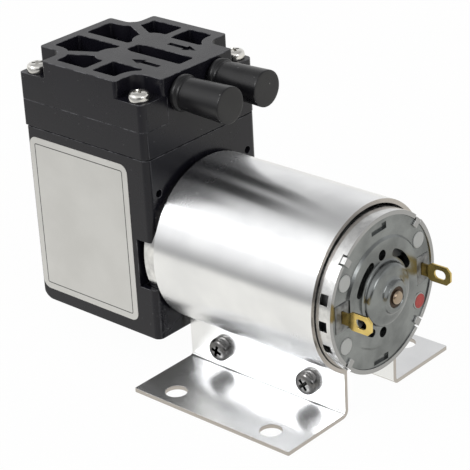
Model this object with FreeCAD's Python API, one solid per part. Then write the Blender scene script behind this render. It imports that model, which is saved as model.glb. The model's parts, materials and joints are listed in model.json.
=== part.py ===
import FreeCAD, Part
import math
import os

# Mini vacuum pump: a diaphragm head on a plastic crankcase, driven by a small brushed
# motor that a bent sheet bracket clamps.
#
# Lengths are in millimetres. Every piece is drawn in the pump's own frame:
#   X = 0 is the crankcase's motor-side face, and +X runs out along the motor
#   Y = 0 is the motor's middle plane, with the label on the -Y side
#   Z = 0 is the underside of the bracket's feet
# save() then moves it, so that the origin is at the centre of the four foot holes.
# Turns about the motor's axis are in degrees from +Y towards +Z.

# Clearances
fit_gap = 0.05             # between pieces that are fitted together
running_gap = 0.02         # radial, in bearings
thin_gap = 0.15            # round a valve flap

# Bracket, bent from one sheet
sheet = 1.0
bracket_start = 1.3        # from the crankcase's motor-side face
bracket_length = 44.7
foot_reach = 28.25         # middle plane to the outer edge of a foot
flange_gap = 16.2          # between the two flanges
bend_radius = 0.7          # inside of a bend
sleeve_clearance = 0.3     # sleeve's bore over the can, radial
foot_hole_radius = 2.5
foot_hole_pitch_x = 27.5
foot_hole_inset = 4.45     # from the outer edge of a foot
foot_corner_radius = 0.3
clamp_screw_pitch = 25.2
clamp_screw_height = 5.9
clamp_screw_room = 3.7     # between their middle and the sleeve's bore
clamp_screw_turns = (15, 50)

# Motor
can_radius = 18.1
can_wall = 1.0
can_nose = 4.0             # length of the can inside the crankcase
can_rim = 0.3              # of the can beyond the end cap's face
can_nose_cut = 1.2         # of the drawn corner inside the crankcase
crimp_width = 1.6          # of each tab that folds over the end cap
crimp_notch_width = 2.4    # of the cut beside it
crimp_depth = 1.0
crimp_reach = 1.4
crimp_inset = 0.3
crimp_proud = 0.2
front_boss_radius = 6.5
front_boss_length = 2.4
end_cap_thickness = 1.2
end_cap_room = 3.6         # from the commutator's end to the end cap's face
plateau_radius = 12.2
plateau_height = 0.5
dome_radius = 7.2
dome_height = 2.0
dome_slope = 1.6           # its top is this much smaller in radius
dome_wall = 1.4
dome_cut = 0.9
hub_wall = 0.55
hub_height = 4.0           # above the end cap's face
hub_mouth_radius = 2.2
hub_lip = 0.3              # of the hub beyond its bush
shaft_radius = 1.5875
shaft_inset = 0.5          # of the shaft's front end in the eccentric
shaft_proud = 0.5          # of its tip beyond the hub
bush_radius = 2.8
bush_length = 3.2
front_bush_radius = 3.5
magnet_overhang = 2.0      # beyond the armature at each end
magnet_thickness = 4.6
air_gap = 0.85             # between the magnets and the armature
magnet_span = 128.0
clip_thickness = 0.6
clip_inset = 2.0           # shorter than the magnets
clip_end_turn = 0.3        # degrees between a clip and each magnet
armature_start = 8.0
armature_length = 28.0
pole_count = 5
pole_slot = 1.6
pole_shoe = 1.6            # thickness of a pole's outer rim
slot_turn = 26.0           # half of a slot's width, in degrees
coil_turn = 25.0           # half of a coil's width, in degrees
coil_sleeve = 0.8          # insulation round the shaft
core_radius = 5.0
winding_overhang = 3.2
commutator_radius = 4.5
commutator_gap = 0.8       # from the end turns
commutator_length = 6.0
commutator_slit = 0.4
brush_inset = 1.0          # from the commutator's front end
brush_length = 3.4
brush_height = 3.6
brush_reach = 3.0
arm_thickness = 0.4
arm_width = 3.0
card_thickness = 2.6
card_inset = 0.85          # its ends from the can's inside
card_height = 18.6
card_corner = 5.0
card_hole_radius = 6.2
card_root = 0.5            # overlap of posts and towers with the card
post_radius = 1.9
post_inset = 2.35          # its middle from the can's inside
post_turn = 30.0           # of each post from the Y axis
post_proud = 0.25
mark_thickness = 0.1
terminal_inset = 3.25      # its middle from the can's inside
terminal_thickness = 0.5
terminal_reach = 7.9       # from the end cap's face to the tip
terminal_neck = 2.8        # width
terminal_neck_reach = 1.8
terminal_eye_reach = 2.8   # to where its full width starts
terminal_eye_width = 4.2
terminal_hole_length = 2.9
terminal_hole_width = 2.1
terminal_hole_reach = 5.1  # to the hole's middle
tower_size_y = 4.4
tower_size_z = 6.4
kidney_circle = 8.9
kidney_width = 1.8
kidney_turns = ((118, 160), (24, 64), (-160, -118))
vent_circle = 9.1
vent_radius = 1.2
vent_turns = (93, -94)
lance_upper = 15.2         # from the axis
lance_lower = 15.7
lance_turn = 93.0
lance_length = 5.0
lance_width = 1.6
window_length = 2.0
window_width = 2.4
window_pitch = 19.0        # turn between two windows in the can
window_lean = 3.0          # turn of the middle one below the axis

# Crankcase, valve body and cover
head_length = 38.1
head_margin = 0.05         # of the head's sides beyond the can's
case_inset_end = 0.4       # crankcase inside the head at its far end
case_inset_side = 0.15     # and at its sides
case_drop = 19.85          # from the motor's axis down to its bottom
case_rise = 24.25          # and up to its top
body_height = 6.3
ledge_rise = 6.45          # screw ledges above the valve body
crown_rise = 4.05          # crown above the ledges
near_corner_radius = 1.6   # upright corners at the motor side
far_corner_radius = 0.6
keel_radius = 3.0          # lower far edge
seam_groove = 0.3
recess_clearance = 0.1     # crankcase's bore over the can, radial
recess_room = 0.6          # between the can's nose and the recess's floor
front_wall = 4.0
deck = 6.0                 # crankcase's top wall
chamber_wall = 2.5
screw_post = 6.6           # side of the square posts that the far head screws go into
side_window_drop = 7.45    # from the motor's axis down to its lower edge
side_window_height = 11.7
side_window_length = 4.9
blind_hole_radius = 0.9
blind_hole_depth = 3.0
blind_hole_offset = 14.75
blind_hole_rise = 15.45    # above the motor's axis
label_start = 6.2          # from the motor-side face
label_margin_end = 1.0     # from the head's far end
label_margin_low = 3.0     # from the crankcase's bottom
label_margin_high = 2.6    # from its top
label_thickness = 0.12
label_radius = 2.0

# Head cover's crown
notch_margin_end = 2.0     # between a screw's head and the crown
notch_margin_side = 1.6
notch_gap = 0.4            # round the head, in the notch's inner corner
notch_lip_radius = 0.8
rim = 2.4
rib = 2.3
center_rib = 2.5
pocket_depth = 6.8
pocket_radius = 0.5
land_inner = 2.3           # each land runs from here
land_outer = 9.2           # to here, off the middle plane
pad_radius = 4.1
slot_start = 3.3           # long slot between the lands, from the motor-side face
slot_end = 19.8
hub_web = 22.4             # where the centre rib ends
tongue_width = 20.4
tongue_thickness = 2.0

# Ports
port_pitch = 11.94
port_rise = 5.9            # above the valve body
port_bore_radius = 1.6
duct_half = 1.7            # half the side of the square duct behind the bore
duct_end = 6.0             # where the port's bore widens into the duct
nozzle_radius = 3.0
nozzle_end = 12.5
cap_radius = 4.1
cap_start = 0.5
cap_end_wall = 2.0         # beyond the nozzle
cap_bead = 1.4
cap_bead_rise = 0.1
cap_edge_cut = 0.45

# Head screws
head_screw_inset = 3.2     # from the end faces
head_screw_side_inset = 2.7
head_screw_length = 20.0
head_screw_radius = 1.25
head_screw_head = 2.4
head_screw_head_height = 2.0
head_screw_turns = (20, 65, 40, 10)

# M3 screws and nuts
m3_radius = 1.5
m3_head_radius = 2.75
m3_head_height = 2.4
m3_nut_width = 5.5
m3_nut_height = 2.4
motor_screw_circle = 12.5
motor_screw_length = 7.0
motor_screw_head_height = 1.9

# Crank, rod and diaphragm
throw = 2.0
pin_radius = 2.5
race_radius = 6.5
race_wall = 1.2
bearing_width = 4.0
roller_count = 5
roller_length = 3.2
rod_width = 4.4
rod_eye_wall = 2.0
rod_shank = 7.0
rod_plate_radius = 9.0
rod_plate = 1.8
rod_plate_drop = 4.0       # below the crankcase's top, at the bottom of its stroke
eccentric_radius = 5.0
eccentric_start = 9.4      # from the motor-side face
crank_shoulder = 0.75      # between the hub's end and the bearing
weight_radius = 9.2
weight_step = 1.7          # from the weight's end to the hub's end
shoulder_radius = 3.3
set_screw_place = 11.9
set_screw_inset = 0.3      # below the hub's surface
socket_radius = 0.85
socket_depth = 1.3
diaphragm_rim = 2.2        # clamped, beyond the opening
diaphragm_thickness = 1.5
diaphragm_opening = 12.6
disc_inset = 0.5           # from the edge of the rod's plate
disc_thickness = 1.3
disc_screw_radius = 1.25
disc_screw_head = 2.55
disc_screw_length = 9.0
disc_recess_length = 2.6
disc_recess_width = 0.5
disc_recess_depth = 0.9
diaphragm_fold = 0.6       # slope of its flexing ring
diaphragm_margin = 0.2
chamber_deck = 3.1         # over the pumping chamber

# Valves
valve_sheet_thickness = 0.6
valve_sheet_start = 7.0
valve_sheet_end = 31.0
valve_sheet_width = 24.0
flap_root = 26.0
flap_length = 9.5
flap_width = 6.5
flap_lift = 2.2
valve_hole = 20.0
transfer_slot = 1.0        # half the width of the slot under the inlet flap

# Worked out from the sizes above: bracket and motor
bracket_middle = bracket_start + bracket_length / 2
foot_hole_pitch_y = 2 * (foot_reach - foot_hole_inset)
flange_inner = flange_gap / 2
flange_outer = flange_inner + sheet
sleeve_bore = can_radius + sleeve_clearance
sleeve_axis = clamp_screw_height + clamp_screw_room + sleeve_bore
axis_height = sleeve_axis - sleeve_clearance + fit_gap
can_inside = can_radius - can_wall - fit_gap
armature_radius = can_inside - magnet_thickness - air_gap
magnet_start = armature_start - magnet_overhang
magnet_length = armature_length + 2 * magnet_overhang
commutator_start = armature_start + armature_length + winding_overhang + commutator_gap
brush_start = commutator_start + brush_inset
end_cap_face = commutator_start + commutator_length + end_cap_room
can_tail = end_cap_face + can_rim
cap_plate_back = end_cap_face - end_cap_thickness
card_front = cap_plate_back - fit_gap - card_thickness
card_width = 2 * (can_inside - card_inset)
post_circle = can_inside - post_inset
terminal_offset = can_inside - terminal_inset
hub_radius = bush_radius + fit_gap + hub_wall
hub_end = end_cap_face + hub_height
bush_start = hub_end - hub_lip - bush_length
shaft_tip = hub_end + shaft_proud

# Worked out: crankcase and head
head_width = 2 * (can_radius + head_margin)
case_half = head_width / 2 - case_inset_side
case_bottom = axis_height - case_drop
case_top = axis_height + case_rise
body_top = case_top + body_height
ledge_height = body_top + ledge_rise
cover_top = ledge_height + crown_rise
pocket_floor = cover_top - pocket_depth
chamber_top = body_top - chamber_deck
recess_depth = can_nose + recess_room
label_face = -case_half
label_bottom = case_bottom + label_margin_low
label_top = case_top - label_margin_high
head_screw_offset = head_width / 2 - head_screw_side_inset
notch_length = head_screw_inset + head_screw_head + notch_margin_end
notch_width = head_screw_side_inset + head_screw_head + notch_margin_side
notch_radius = head_screw_head + notch_gap
port_height = body_top + port_rise
port_side = port_pitch / 2
cap_end = nozzle_end + cap_end_wall
valve_sheet_top = body_top + valve_sheet_thickness

# Worked out: crank and diaphragm
crank_plane = -head_length / 2
pin_height = axis_height - throw
eccentric_end = -crank_plane - bearing_width / 2 - crank_shoulder
weight_end = eccentric_end - weight_step
shaft_front = eccentric_end - shaft_inset
rod_plate_top = case_top - rod_plate_drop
diaphragm_radius = diaphragm_opening + diaphragm_rim
disc_radius = rod_plate_radius - disc_inset
sides = (-1, 1)


# Helpers

def vec(x, y, z):
    return FreeCAD.Vector(x, y, z)


def block(x, y, z):
    """Box between pairs of limits along X, Y and Z."""
    return Part.makeBox(x[1] - x[0], y[1] - y[0], z[1] - z[0], vec(x[0], y[0], z[0]))


def x_rod(x, radius, y=0.0, z=axis_height):
    """Cylinder along X between the two limits in x."""
    return Part.makeCylinder(radius, x[1] - x[0], vec(x[0], y, z), vec(1, 0, 0))


def y_rod(y, radius, x, z):
    return Part.makeCylinder(radius, y[1] - y[0], vec(x, y[0], z), vec(0, 1, 0))


def z_rod(z, radius, x, y):
    return Part.makeCylinder(radius, z[1] - z[0], vec(x, y, z[0]), vec(0, 0, 1))


def x_tube(x, outer, inner, y=0.0, z=axis_height):
    return x_rod(x, outer, y, z).cut(x_rod(x, inner, y, z))


def on_plan(u, v):
    return vec(u, v, 0)


def on_side(u, v):
    return vec(u, 0, v)


def on_end(u, v):
    return vec(0, u, v)


def corner_arc(before, corner, after, radius):
    """Start, middle and end of the arc that rounds one corner of an outline."""
    back = before.sub(corner)
    ahead = after.sub(corner)
    reach = min(back.Length, ahead.Length) / 2
    back.normalize()
    ahead.normalize()
    half = back.getAngle(ahead) / 2
    tangent = min(radius / math.tan(half), reach * 0.98)
    bisector = back.add(ahead)
    bisector.normalize()
    middle = tangent / math.cos(half) - tangent * math.tan(half)
    return [corner.add(back * tangent), corner.add(bisector * middle), corner.add(ahead * tangent)]


def outline(points, radii, plane):
    """Flat face inside straight edges, with each corner rounded to its radius, or left at 0."""
    corners = [plane(u, v) for u, v in points]
    count = len(corners)
    if not isinstance(radii, (list, tuple)):
        radii = [radii] * count
    arcs = []
    for i in range(count):
        if radii[i] > 0:
            arcs.append(corner_arc(corners[i - 1], corners[i], corners[(i + 1) % count], radii[i]))
        else:
            arcs.append([corners[i]])
    edges = []
    for i in range(count):
        if len(arcs[i]) == 3:
            edges.append(Part.Arc(*arcs[i]).toShape())
        start = arcs[i][-1]
        end = arcs[(i + 1) % count][0]
        if start.distanceToPoint(end) > 1e-6:
            edges.append(Part.makeLine(start, end))
    return Part.Face(Part.Wire(edges))


def plan_prism(points, radii, z):
    face = outline(points, radii, on_plan)
    face.translate(vec(0, 0, z[0]))
    return face.extrude(vec(0, 0, z[1] - z[0]))


def side_prism(points, radii, y):
    face = outline(points, radii, on_side)
    face.translate(vec(0, y[0], 0))
    return face.extrude(vec(0, y[1] - y[0], 0))


def end_prism(points, radii, x):
    face = outline(points, radii, on_end)
    face.translate(vec(x[0], 0, 0))
    return face.extrude(vec(x[1] - x[0], 0, 0))


def rectangle(u, v):
    return [(u[0], v[0]), (u[1], v[0]), (u[1], v[1]), (u[0], v[1])]


def rounded_block(x, y, z, radius):
    """Box with rounded upright corners."""
    return plan_prism(rectangle(x, y), radius, z)


def cut_corners(points, cuts):
    """The points of an outline, with flat cuts across its corners, each of its own size or 0."""
    result = []
    count = len(points)
    for i in range(count):
        u, v = points[i]
        if cuts[i] == 0:
            result.append((u, v))
            continue
        for near_u, near_v in (points[i - 1], points[(i + 1) % count]):
            run = math.hypot(near_u - u, near_v - v)
            share = min(cuts[i], run * 0.49) / run
            result.append((u + (near_u - u) * share, v + (near_v - v) * share))
    return result


def lathe(profile, cuts=None, y=0.0, z=axis_height):
    """Solid turned about an axis along X from (x, radius) points."""
    points = cut_corners(profile, cuts) if cuts else profile
    face = outline(points, 0.0, on_side)
    solid = face.revolve(vec(0, 0, 0), vec(1, 0, 0), 360)
    solid.translate(vec(0, y, z))
    return solid


def upright_lathe(profile, x, y):
    """Solid turned about an upright axis from (radius, z) points."""
    face = outline(profile, 0.0, on_side)
    solid = face.revolve(vec(0, 0, 0), vec(0, 0, 1), 360)
    solid.translate(vec(x, y, 0))
    return solid


def spun(shape, degrees):
    """Copy of the shape turned about the motor's axis."""
    copy = shape.copy()
    copy.rotate(vec(0, 0, axis_height), vec(1, 0, 0), degrees)
    return copy


def off_axis(radius, degrees):
    """Y and Z of a point at this radius and turn about the motor's axis."""
    turn = math.radians(degrees)
    return radius * math.cos(turn), axis_height + radius * math.sin(turn)


def arc_band(x, inner, outer, start, end):
    """Part of a ring about the motor's axis, between two turns."""
    face = outline(rectangle(x, (inner, outer)), 0.0, on_plan)
    band = face.revolve(vec(0, 0, 0), vec(1, 0, 0), end - start)
    band.rotate(vec(0, 0, 0), vec(1, 0, 0), start)
    band.translate(vec(0, 0, axis_height))
    return band


def both_sides(shape):
    """The shape and its mirror image across the middle plane."""
    return [shape, shape.mirror(vec(0, 0, 0), vec(0, 1, 0))]


def pan_screw(shank_radius, shank_length, head_radius, head_height):
    """Cross-recess pan-head screw, pointing down from Z = 0 with its head above."""
    head = z_rod((0, head_height), head_radius, 0, 0)
    shank = z_rod((-shank_length, 0), shank_radius, 0, 0)
    recess_length = head_radius * 1.15
    recess_width = head_radius * 0.24
    recess_floor = head_height * 0.42
    arm = block((-recess_length / 2, recess_length / 2), (-recess_width / 2, recess_width / 2),
                (recess_floor, head_height + 1))
    cross = arm.copy()
    cross.rotate(vec(0, 0, 0), vec(0, 0, 1), 90)
    return head.fuse(shank).cut([arm, cross])


def placed(shape, axis, degrees, x, y, z):
    """Copy of the shape turned about one axis through the origin, then moved."""
    copy = shape.copy()
    copy.rotate(vec(0, 0, 0), axis, degrees)
    copy.translate(vec(x, y, z))
    return copy


def save(node, shapes):
    """Write one node, of one solid or a group of separate solids."""
    solids = []
    for shape in shapes if isinstance(shapes, list) else [shapes]:
        solids.extend(shape.removeSplitter().Solids)
    node_shape = solids[0] if len(solids) == 1 else Part.makeCompound(solids)
    node_shape.translate(vec(-bracket_middle, 0, 0))
    node_shape.exportStep("parts/" + node + ".step")


# Outlines of the head

def head_points(end_inset, side_inset, near_inset=0.0):
    far = -head_length + end_inset
    side = head_width / 2 - side_inset
    return [(far, -side), (-near_inset, -side), (-near_inset, side), (far, side)]


head_radii = [far_corner_radius, near_corner_radius, near_corner_radius, far_corner_radius]


def head_slab(z):
    return plan_prism(head_points(0, 0), head_radii, z)


def crown_face():
    """Plan of the crown: the head's rectangle with a screw notch at each corner."""
    side = head_width / 2
    step = side - notch_width
    far = -head_length
    points = [
        (far, -step), (far + notch_length, -step), (far + notch_length, -side),
        (-notch_length, -side), (-notch_length, -step), (0, -step),
        (0, step), (-notch_length, step), (-notch_length, side),
        (far + notch_length, side), (far + notch_length, step), (far, step)]
    lip = notch_lip_radius
    radii = [lip, notch_radius, lip, lip, notch_radius, lip] * 2
    return outline(points, radii, on_plan)


def head_screw_places():
    near = -head_screw_inset
    far = -head_length + head_screw_inset
    return [(x, side * head_screw_offset) for x in (near, far) for side in sides]


def screw_holes(z, radius):
    return [z_rod(z, radius, x, y) for x, y in head_screw_places()]


# Head

def pockets():
    """Hollows between the ribs of the crown, cut down to the pocket floor."""
    height = (pocket_floor, cover_top + 1)
    field = crown_face().makeOffset2D(-rim)
    field.translate(vec(0, 0, pocket_floor))
    field = field.extrude(vec(0, 0, cover_top + 1 - pocket_floor))
    pad_x = -valve_hole
    far = -head_length
    walls = [block((far, -slot_end), (-center_rib / 2, center_rib / 2), height)]
    walls.append(block((-hub_web, -slot_end), (-port_side, port_side), height))
    walls.append(block((-slot_start, 0), (-land_outer, land_outer), height))
    corner_x = far + notch_length
    corner_y = head_width / 2 - notch_width
    for side in sides:
        walls.append(z_rod(height, pad_radius, pad_x, side * port_side))
        land = sorted((side * land_inner, side * land_outer))
        walls.append(block((pad_x, 0), land, height))
        brace_length = math.hypot(corner_x - pad_x, corner_y - port_side)
        brace = block((0, brace_length), (-rib / 2, rib / 2), height)
        turn = math.degrees(math.atan2(side * (corner_y - port_side), corner_x - pad_x))
        walls.append(placed(brace, vec(0, 0, 1), turn, pad_x, side * port_side, 0))
        cross_x = pad_x + pad_radius / 2
        cross_y = sorted((side * port_side, side * head_width / 2))
        walls.append(block((cross_x - rib / 2, cross_x + rib / 2), cross_y, height))
    hollows = field.cut(walls)
    rounded = []
    for solid in hollows.Solids:
        upright = [edge for edge in solid.Edges if is_upright(edge) and is_outward(edge, solid)]
        rounded.append(solid.makeFillet(pocket_radius, upright) if upright else solid)
    return rounded


def is_upright(edge):
    ends = edge.Vertexes
    if len(ends) != 2:
        return False
    run = ends[1].Point.sub(ends[0].Point)
    return abs(run.z) > 1.0 and math.hypot(run.x, run.y) < 1e-6


def is_outward(edge, solid):
    """True at a sharp corner that sticks out of the solid in plan."""
    place = edge.Vertexes[0].Point
    middle = vec(place.x, place.y, (pocket_floor + cover_top) / 2)
    reach = 0.05
    steps = 24
    inside = 0
    for i in range(steps):
        turn = 2 * math.pi * i / steps
        probe = middle.add(vec(reach * math.cos(turn), reach * math.sin(turn), 0))
        if solid.isInside(probe, 1e-6, True):
            inside += 1
    return inside < steps * 0.42


def valve_well(side, z, gap):
    """Room for one flap, with a gap all round it."""
    x = (-flap_root - valve_sheet_thickness / 2 - gap, -flap_root + flap_length + gap)
    y = (side * port_side - flap_width / 2 - gap, side * port_side + flap_width / 2 + gap)
    return block(x, y, z)


def head_cover():
    cover = head_slab((body_top, ledge_height))
    crown = crown_face()
    crown.translate(vec(0, 0, ledge_height))
    cover = cover.fuse(crown.extrude(vec(0, 0, cover_top - ledge_height)))
    cover = cover.cut(pockets())
    for side in sides:
        y = side * port_side
        cover = cover.fuse(x_rod((-1, nozzle_end), nozzle_radius, y, port_height))
    half = tongue_width / 2 + fit_gap
    room = block((-tongue_thickness - fit_gap, 1), (-half, half), (body_top - 1, port_height + fit_gap))
    for side in sides:
        nozzle = x_rod((-tongue_thickness - 1, nozzle_end), nozzle_radius, side * port_side, port_height)
        room = room.cut(nozzle)
    cover = cover.cut(room)
    for side in sides:
        y = side * port_side
        span = (y - duct_half, y + duct_half)
        rise = (port_height - duct_half, port_height + duct_half)
        cover = cover.cut([
            x_rod((-duct_end, nozzle_end + 1), port_bore_radius, y, port_height),
            block((-valve_hole - duct_half, -duct_end), span, rise),
            block((-valve_hole - duct_half, -valve_hole + duct_half), span, (body_top, port_height))])
    half = valve_sheet_width / 2 + fit_gap
    cover = cover.cut(block((-valve_sheet_end - fit_gap, -valve_sheet_start + fit_gap), (-half, half),
                            (body_top - 1, valve_sheet_top)))
    cover = cover.cut(valve_well(1, (body_top, valve_sheet_top + flap_lift), thin_gap))
    return cover.cut(screw_holes((body_top - 1, ledge_height + 1), head_screw_radius + fit_gap))


def valve_body():
    body = head_slab((case_top, body_top))
    half = tongue_width / 2
    tongue = block((-tongue_thickness, 0), (-half, half), (body_top - 1, port_height))
    for side in sides:
        saddle = x_rod((-tongue_thickness - 1, 1), nozzle_radius + fit_gap, side * port_side, port_height)
        tongue = tongue.cut(saddle)
    body = body.fuse(tongue)
    body = body.cut(z_rod((case_top - 1, chamber_top), diaphragm_opening, crank_plane, 0))
    body = body.cut(valve_well(-1, (body_top - flap_lift, body_top + 1), thin_gap))
    slot_x = (-flap_root + transfer_slot, -flap_root + flap_length - transfer_slot)
    slot_y = (-port_side - transfer_slot, -port_side + transfer_slot)
    body = body.cut(block(slot_x, slot_y, (chamber_top - 1, body_top)))
    hole_x = (-valve_hole - duct_half, -valve_hole + duct_half)
    hole_y = (port_side - duct_half, port_side + duct_half)
    body = body.cut(block(hole_x, hole_y, (chamber_top - 1, body_top + 1)))
    return body.cut(screw_holes((case_top - 1, body_top + 1), head_screw_radius + fit_gap))


def valve_sheet():
    half = valve_sheet_width / 2
    full = block((-valve_sheet_end, -valve_sheet_start), (-half, half), (body_top, valve_sheet_top))
    return full.cut([valve_well(side, (body_top - 1, valve_sheet_top + 1), thin_gap) for side in sides])


def valve_flap(side):
    """Rubber flap that hinges on a rounded root."""
    half = valve_sheet_thickness / 2 - fit_gap
    middle = body_top + valve_sheet_thickness / 2
    tip = -flap_root + flap_length
    profile = [(-flap_root - half, middle - half), (tip, middle - half), (tip, middle + half),
               (-flap_root - half, middle + half)]
    y = side * port_side
    return side_prism(profile, [half, 0.0, 0.0, half], (y - flap_width / 2, y + flap_width / 2))


def head_screws():
    screw = pan_screw(head_screw_radius, head_screw_length, head_screw_head, head_screw_head_height)
    screws = []
    for turn, (x, y) in zip(head_screw_turns, head_screw_places()):
        screws.append(placed(screw, vec(0, 0, 1), turn, x, y, ledge_height))
    return screws


def port_cap(side):
    """Soft cap pushed over a hose nozzle."""
    bead = cap_radius + cap_bead_rise
    bead_end = cap_start + cap_bead
    bore = nozzle_radius + fit_gap
    room_end = nozzle_end + fit_gap
    profile = [
        (cap_start, bore), (cap_start, bead), (bead_end, bead), (bead_end, cap_radius), (cap_end, cap_radius),
        (cap_end, 0), (room_end, 0), (room_end, bore)]
    return lathe(profile, (0, 0, 0, 0, cap_edge_cut, 0, 0, 0), side * port_side, port_height)


# Crankcase

def crankcase():
    case = plan_prism(head_points(case_inset_end, case_inset_side), head_radii, (case_bottom, case_top))
    far = -head_length + case_inset_end
    keel = side_prism(rectangle((far, 0), (case_bottom, case_top)), [keel_radius, 0.0, 0.0, 0.0],
                      (-head_width, head_width))
    case = case.common(keel)
    top = (case_top - seam_groove, case_top + 1)
    lip_points = head_points(case_inset_end + seam_groove, case_inset_side + seam_groove, seam_groove)
    groove = block((far - 1, 1), (-head_width, head_width), top).cut(plan_prism(lip_points, head_radii, top))
    case = case.cut(groove)
    case = case.cut(chamber())
    case = case.cut([
        z_rod((case_top - deck - 1, case_top + 1), diaphragm_opening, crank_plane, 0),
        z_rod((case_top - diaphragm_thickness, case_top + 1), diaphragm_radius + fit_gap, crank_plane, 0)])
    case = case.cut([
        x_rod((-recess_depth, 1), can_radius + recess_clearance),
        x_rod((-recess_depth - front_wall - 1, 0), front_boss_radius + fit_gap)])
    holes = []
    window_low = axis_height - side_window_drop
    for side in sides:
        screw_x = (-recess_depth - front_wall - 1, 0)
        holes.append(x_rod(screw_x, m3_radius + fit_gap, side * motor_screw_circle))
        head_x = (-recess_depth - front_wall - motor_screw_head_height - fit_gap, -recess_depth - front_wall)
        holes.append(x_rod(head_x, m3_head_radius + fit_gap, side * motor_screw_circle))
        outer = sorted((side * (case_half - 2 * chamber_wall), side * (case_half + 1)))
        holes.append(block((-side_window_length, 1), outer, (window_low, window_low + side_window_height)))
        blind_z = axis_height + blind_hole_rise
        holes.append(x_rod((-blind_hole_depth, 1), blind_hole_radius, side * blind_hole_offset, blind_z))
    case = case.cut(holes)
    bottom = ledge_height - head_screw_length - fit_gap
    return case.cut(screw_holes((bottom, case_top + 1), head_screw_radius + fit_gap))


def chamber():
    """Crank chamber, less the two posts that the far head screws go into."""
    x = (-head_length + case_inset_end + chamber_wall, -recess_depth - front_wall)
    half = case_half - chamber_wall
    room = block(x, (-half, half), (case_bottom + chamber_wall, case_top - deck))
    reach = screw_post / 2
    posts = []
    for px, py in head_screw_places():
        posts.append(block((px - reach, px + reach), (py - reach, py + reach), (case_bottom, case_top)))
    return room.cut(posts)


def rating_label():
    x = (-head_length + label_margin_end, -label_start)
    z = (label_bottom, label_top)
    return side_prism(rectangle(x, z), label_radius, (label_face - label_thickness, label_face))


# Bracket

def clamp_bracket():
    """Open sleeve, two flanges and two feet, bent from one sheet."""
    x = (bracket_start, bracket_start + bracket_length)
    inner_foot = sleeve_axis - math.sqrt(sleeve_bore ** 2 - flange_inner ** 2)
    sleeve = x_tube(x, sleeve_bore + sheet, sleeve_bore, 0, sleeve_axis)
    sleeve = sleeve.cut(block((x[0] - 1, x[1] + 1), (-flange_inner, flange_inner), (0, sleeve_axis)))
    outer_foot = sleeve_axis - math.sqrt((sleeve_bore + sheet) ** 2 - flange_outer ** 2)
    below = block((x[0] - 1, x[1] + 1), (flange_inner - 1, flange_outer), (0, outer_foot))
    sleeve = sleeve.cut(both_sides(below))
    limb = end_prism(
        [(flange_inner, 0), (foot_reach, 0), (foot_reach, sheet), (flange_outer, sheet),
         (flange_outer, inner_foot + sheet), (flange_inner, inner_foot + sheet)],
        [bend_radius + sheet, 0.0, 0.0, bend_radius, 0.0, 0.0], x)
    limb = limb.cut(x_rod((x[0] - 1, x[1] + 1), sleeve_bore, 0, sleeve_axis))
    bracket = sleeve.fuse(both_sides(limb))
    creases = [edge for edge in bracket.Edges if is_crease(edge, flange_outer)]
    bracket = bracket.makeFillet(bend_radius, creases)
    tools = []
    for x_side in sides:
        hole_x = bracket_middle + x_side * foot_hole_pitch_x / 2
        screw_x = bracket_middle + x_side * clamp_screw_pitch / 2
        tools.append(y_rod((-foot_reach, foot_reach), m3_radius + thin_gap, screw_x, clamp_screw_height))
        for side in sides:
            tools.append(z_rod((-1, sheet + 1), foot_hole_radius, hole_x, side * foot_hole_pitch_y / 2))
    bracket = bracket.cut(tools)
    corners = [edge for edge in bracket.Edges if is_upright_at(edge, foot_reach)]
    return bracket.makeFillet(foot_corner_radius, corners)


def is_crease(edge, y):
    """True for the inside edge where a flange meets the sleeve."""
    ends = [vertex.Point for vertex in edge.Vertexes]
    if len(ends) != 2 or abs(ends[0].x - ends[1].x) < bracket_length / 2:
        return False
    return all(abs(abs(end.y) - y) < 1e-4 and end.z > 3 * sheet for end in ends)


def is_upright_at(edge, y):
    ends = [vertex.Point for vertex in edge.Vertexes]
    if len(ends) != 2:
        return False
    level = abs(ends[0].z - ends[1].z) > sheet / 2
    return level and all(abs(abs(end.y) - y) < 1e-4 for end in ends)


def clamp_screw_places():
    return [bracket_middle + side * clamp_screw_pitch / 2 for side in sides]


def bracket_screws():
    length = 2 * flange_outer + m3_nut_height + 1
    screw = pan_screw(m3_radius, length, m3_head_radius, m3_head_height)
    screws = []
    for turn, x in zip(clamp_screw_turns, clamp_screw_places()):
        turned = placed(screw, vec(0, 0, 1), turn, 0, 0, 0)
        screws.append(placed(turned, vec(1, 0, 0), 90, x, -flange_outer, clamp_screw_height))
    return screws


def hexagon_points(corner):
    """Corners of a hexagon at this distance from its middle."""
    turns = [math.radians(60 * i) for i in range(6)]
    return [(corner * math.cos(turn), corner * math.sin(turn)) for turn in turns]


def bracket_nuts():
    nuts = []
    hexagon = plan_prism(hexagon_points(m3_nut_width / math.sqrt(3)), 0.0, (0, m3_nut_height))
    hexagon = hexagon.cut(z_rod((-1, m3_nut_height + 1), m3_radius + running_gap, 0, 0))
    for x in clamp_screw_places():
        nuts.append(placed(hexagon, vec(1, 0, 0), -90, x, flange_outer, clamp_screw_height))
    return nuts


# Motor housing

def around(x, inner, outer, width, turn):
    """Block that crosses the can's wall, turned about the motor's axis."""
    upright = block(x, (inner, outer), (axis_height - width / 2, axis_height + width / 2))
    return spun(upright, turn)


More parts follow.
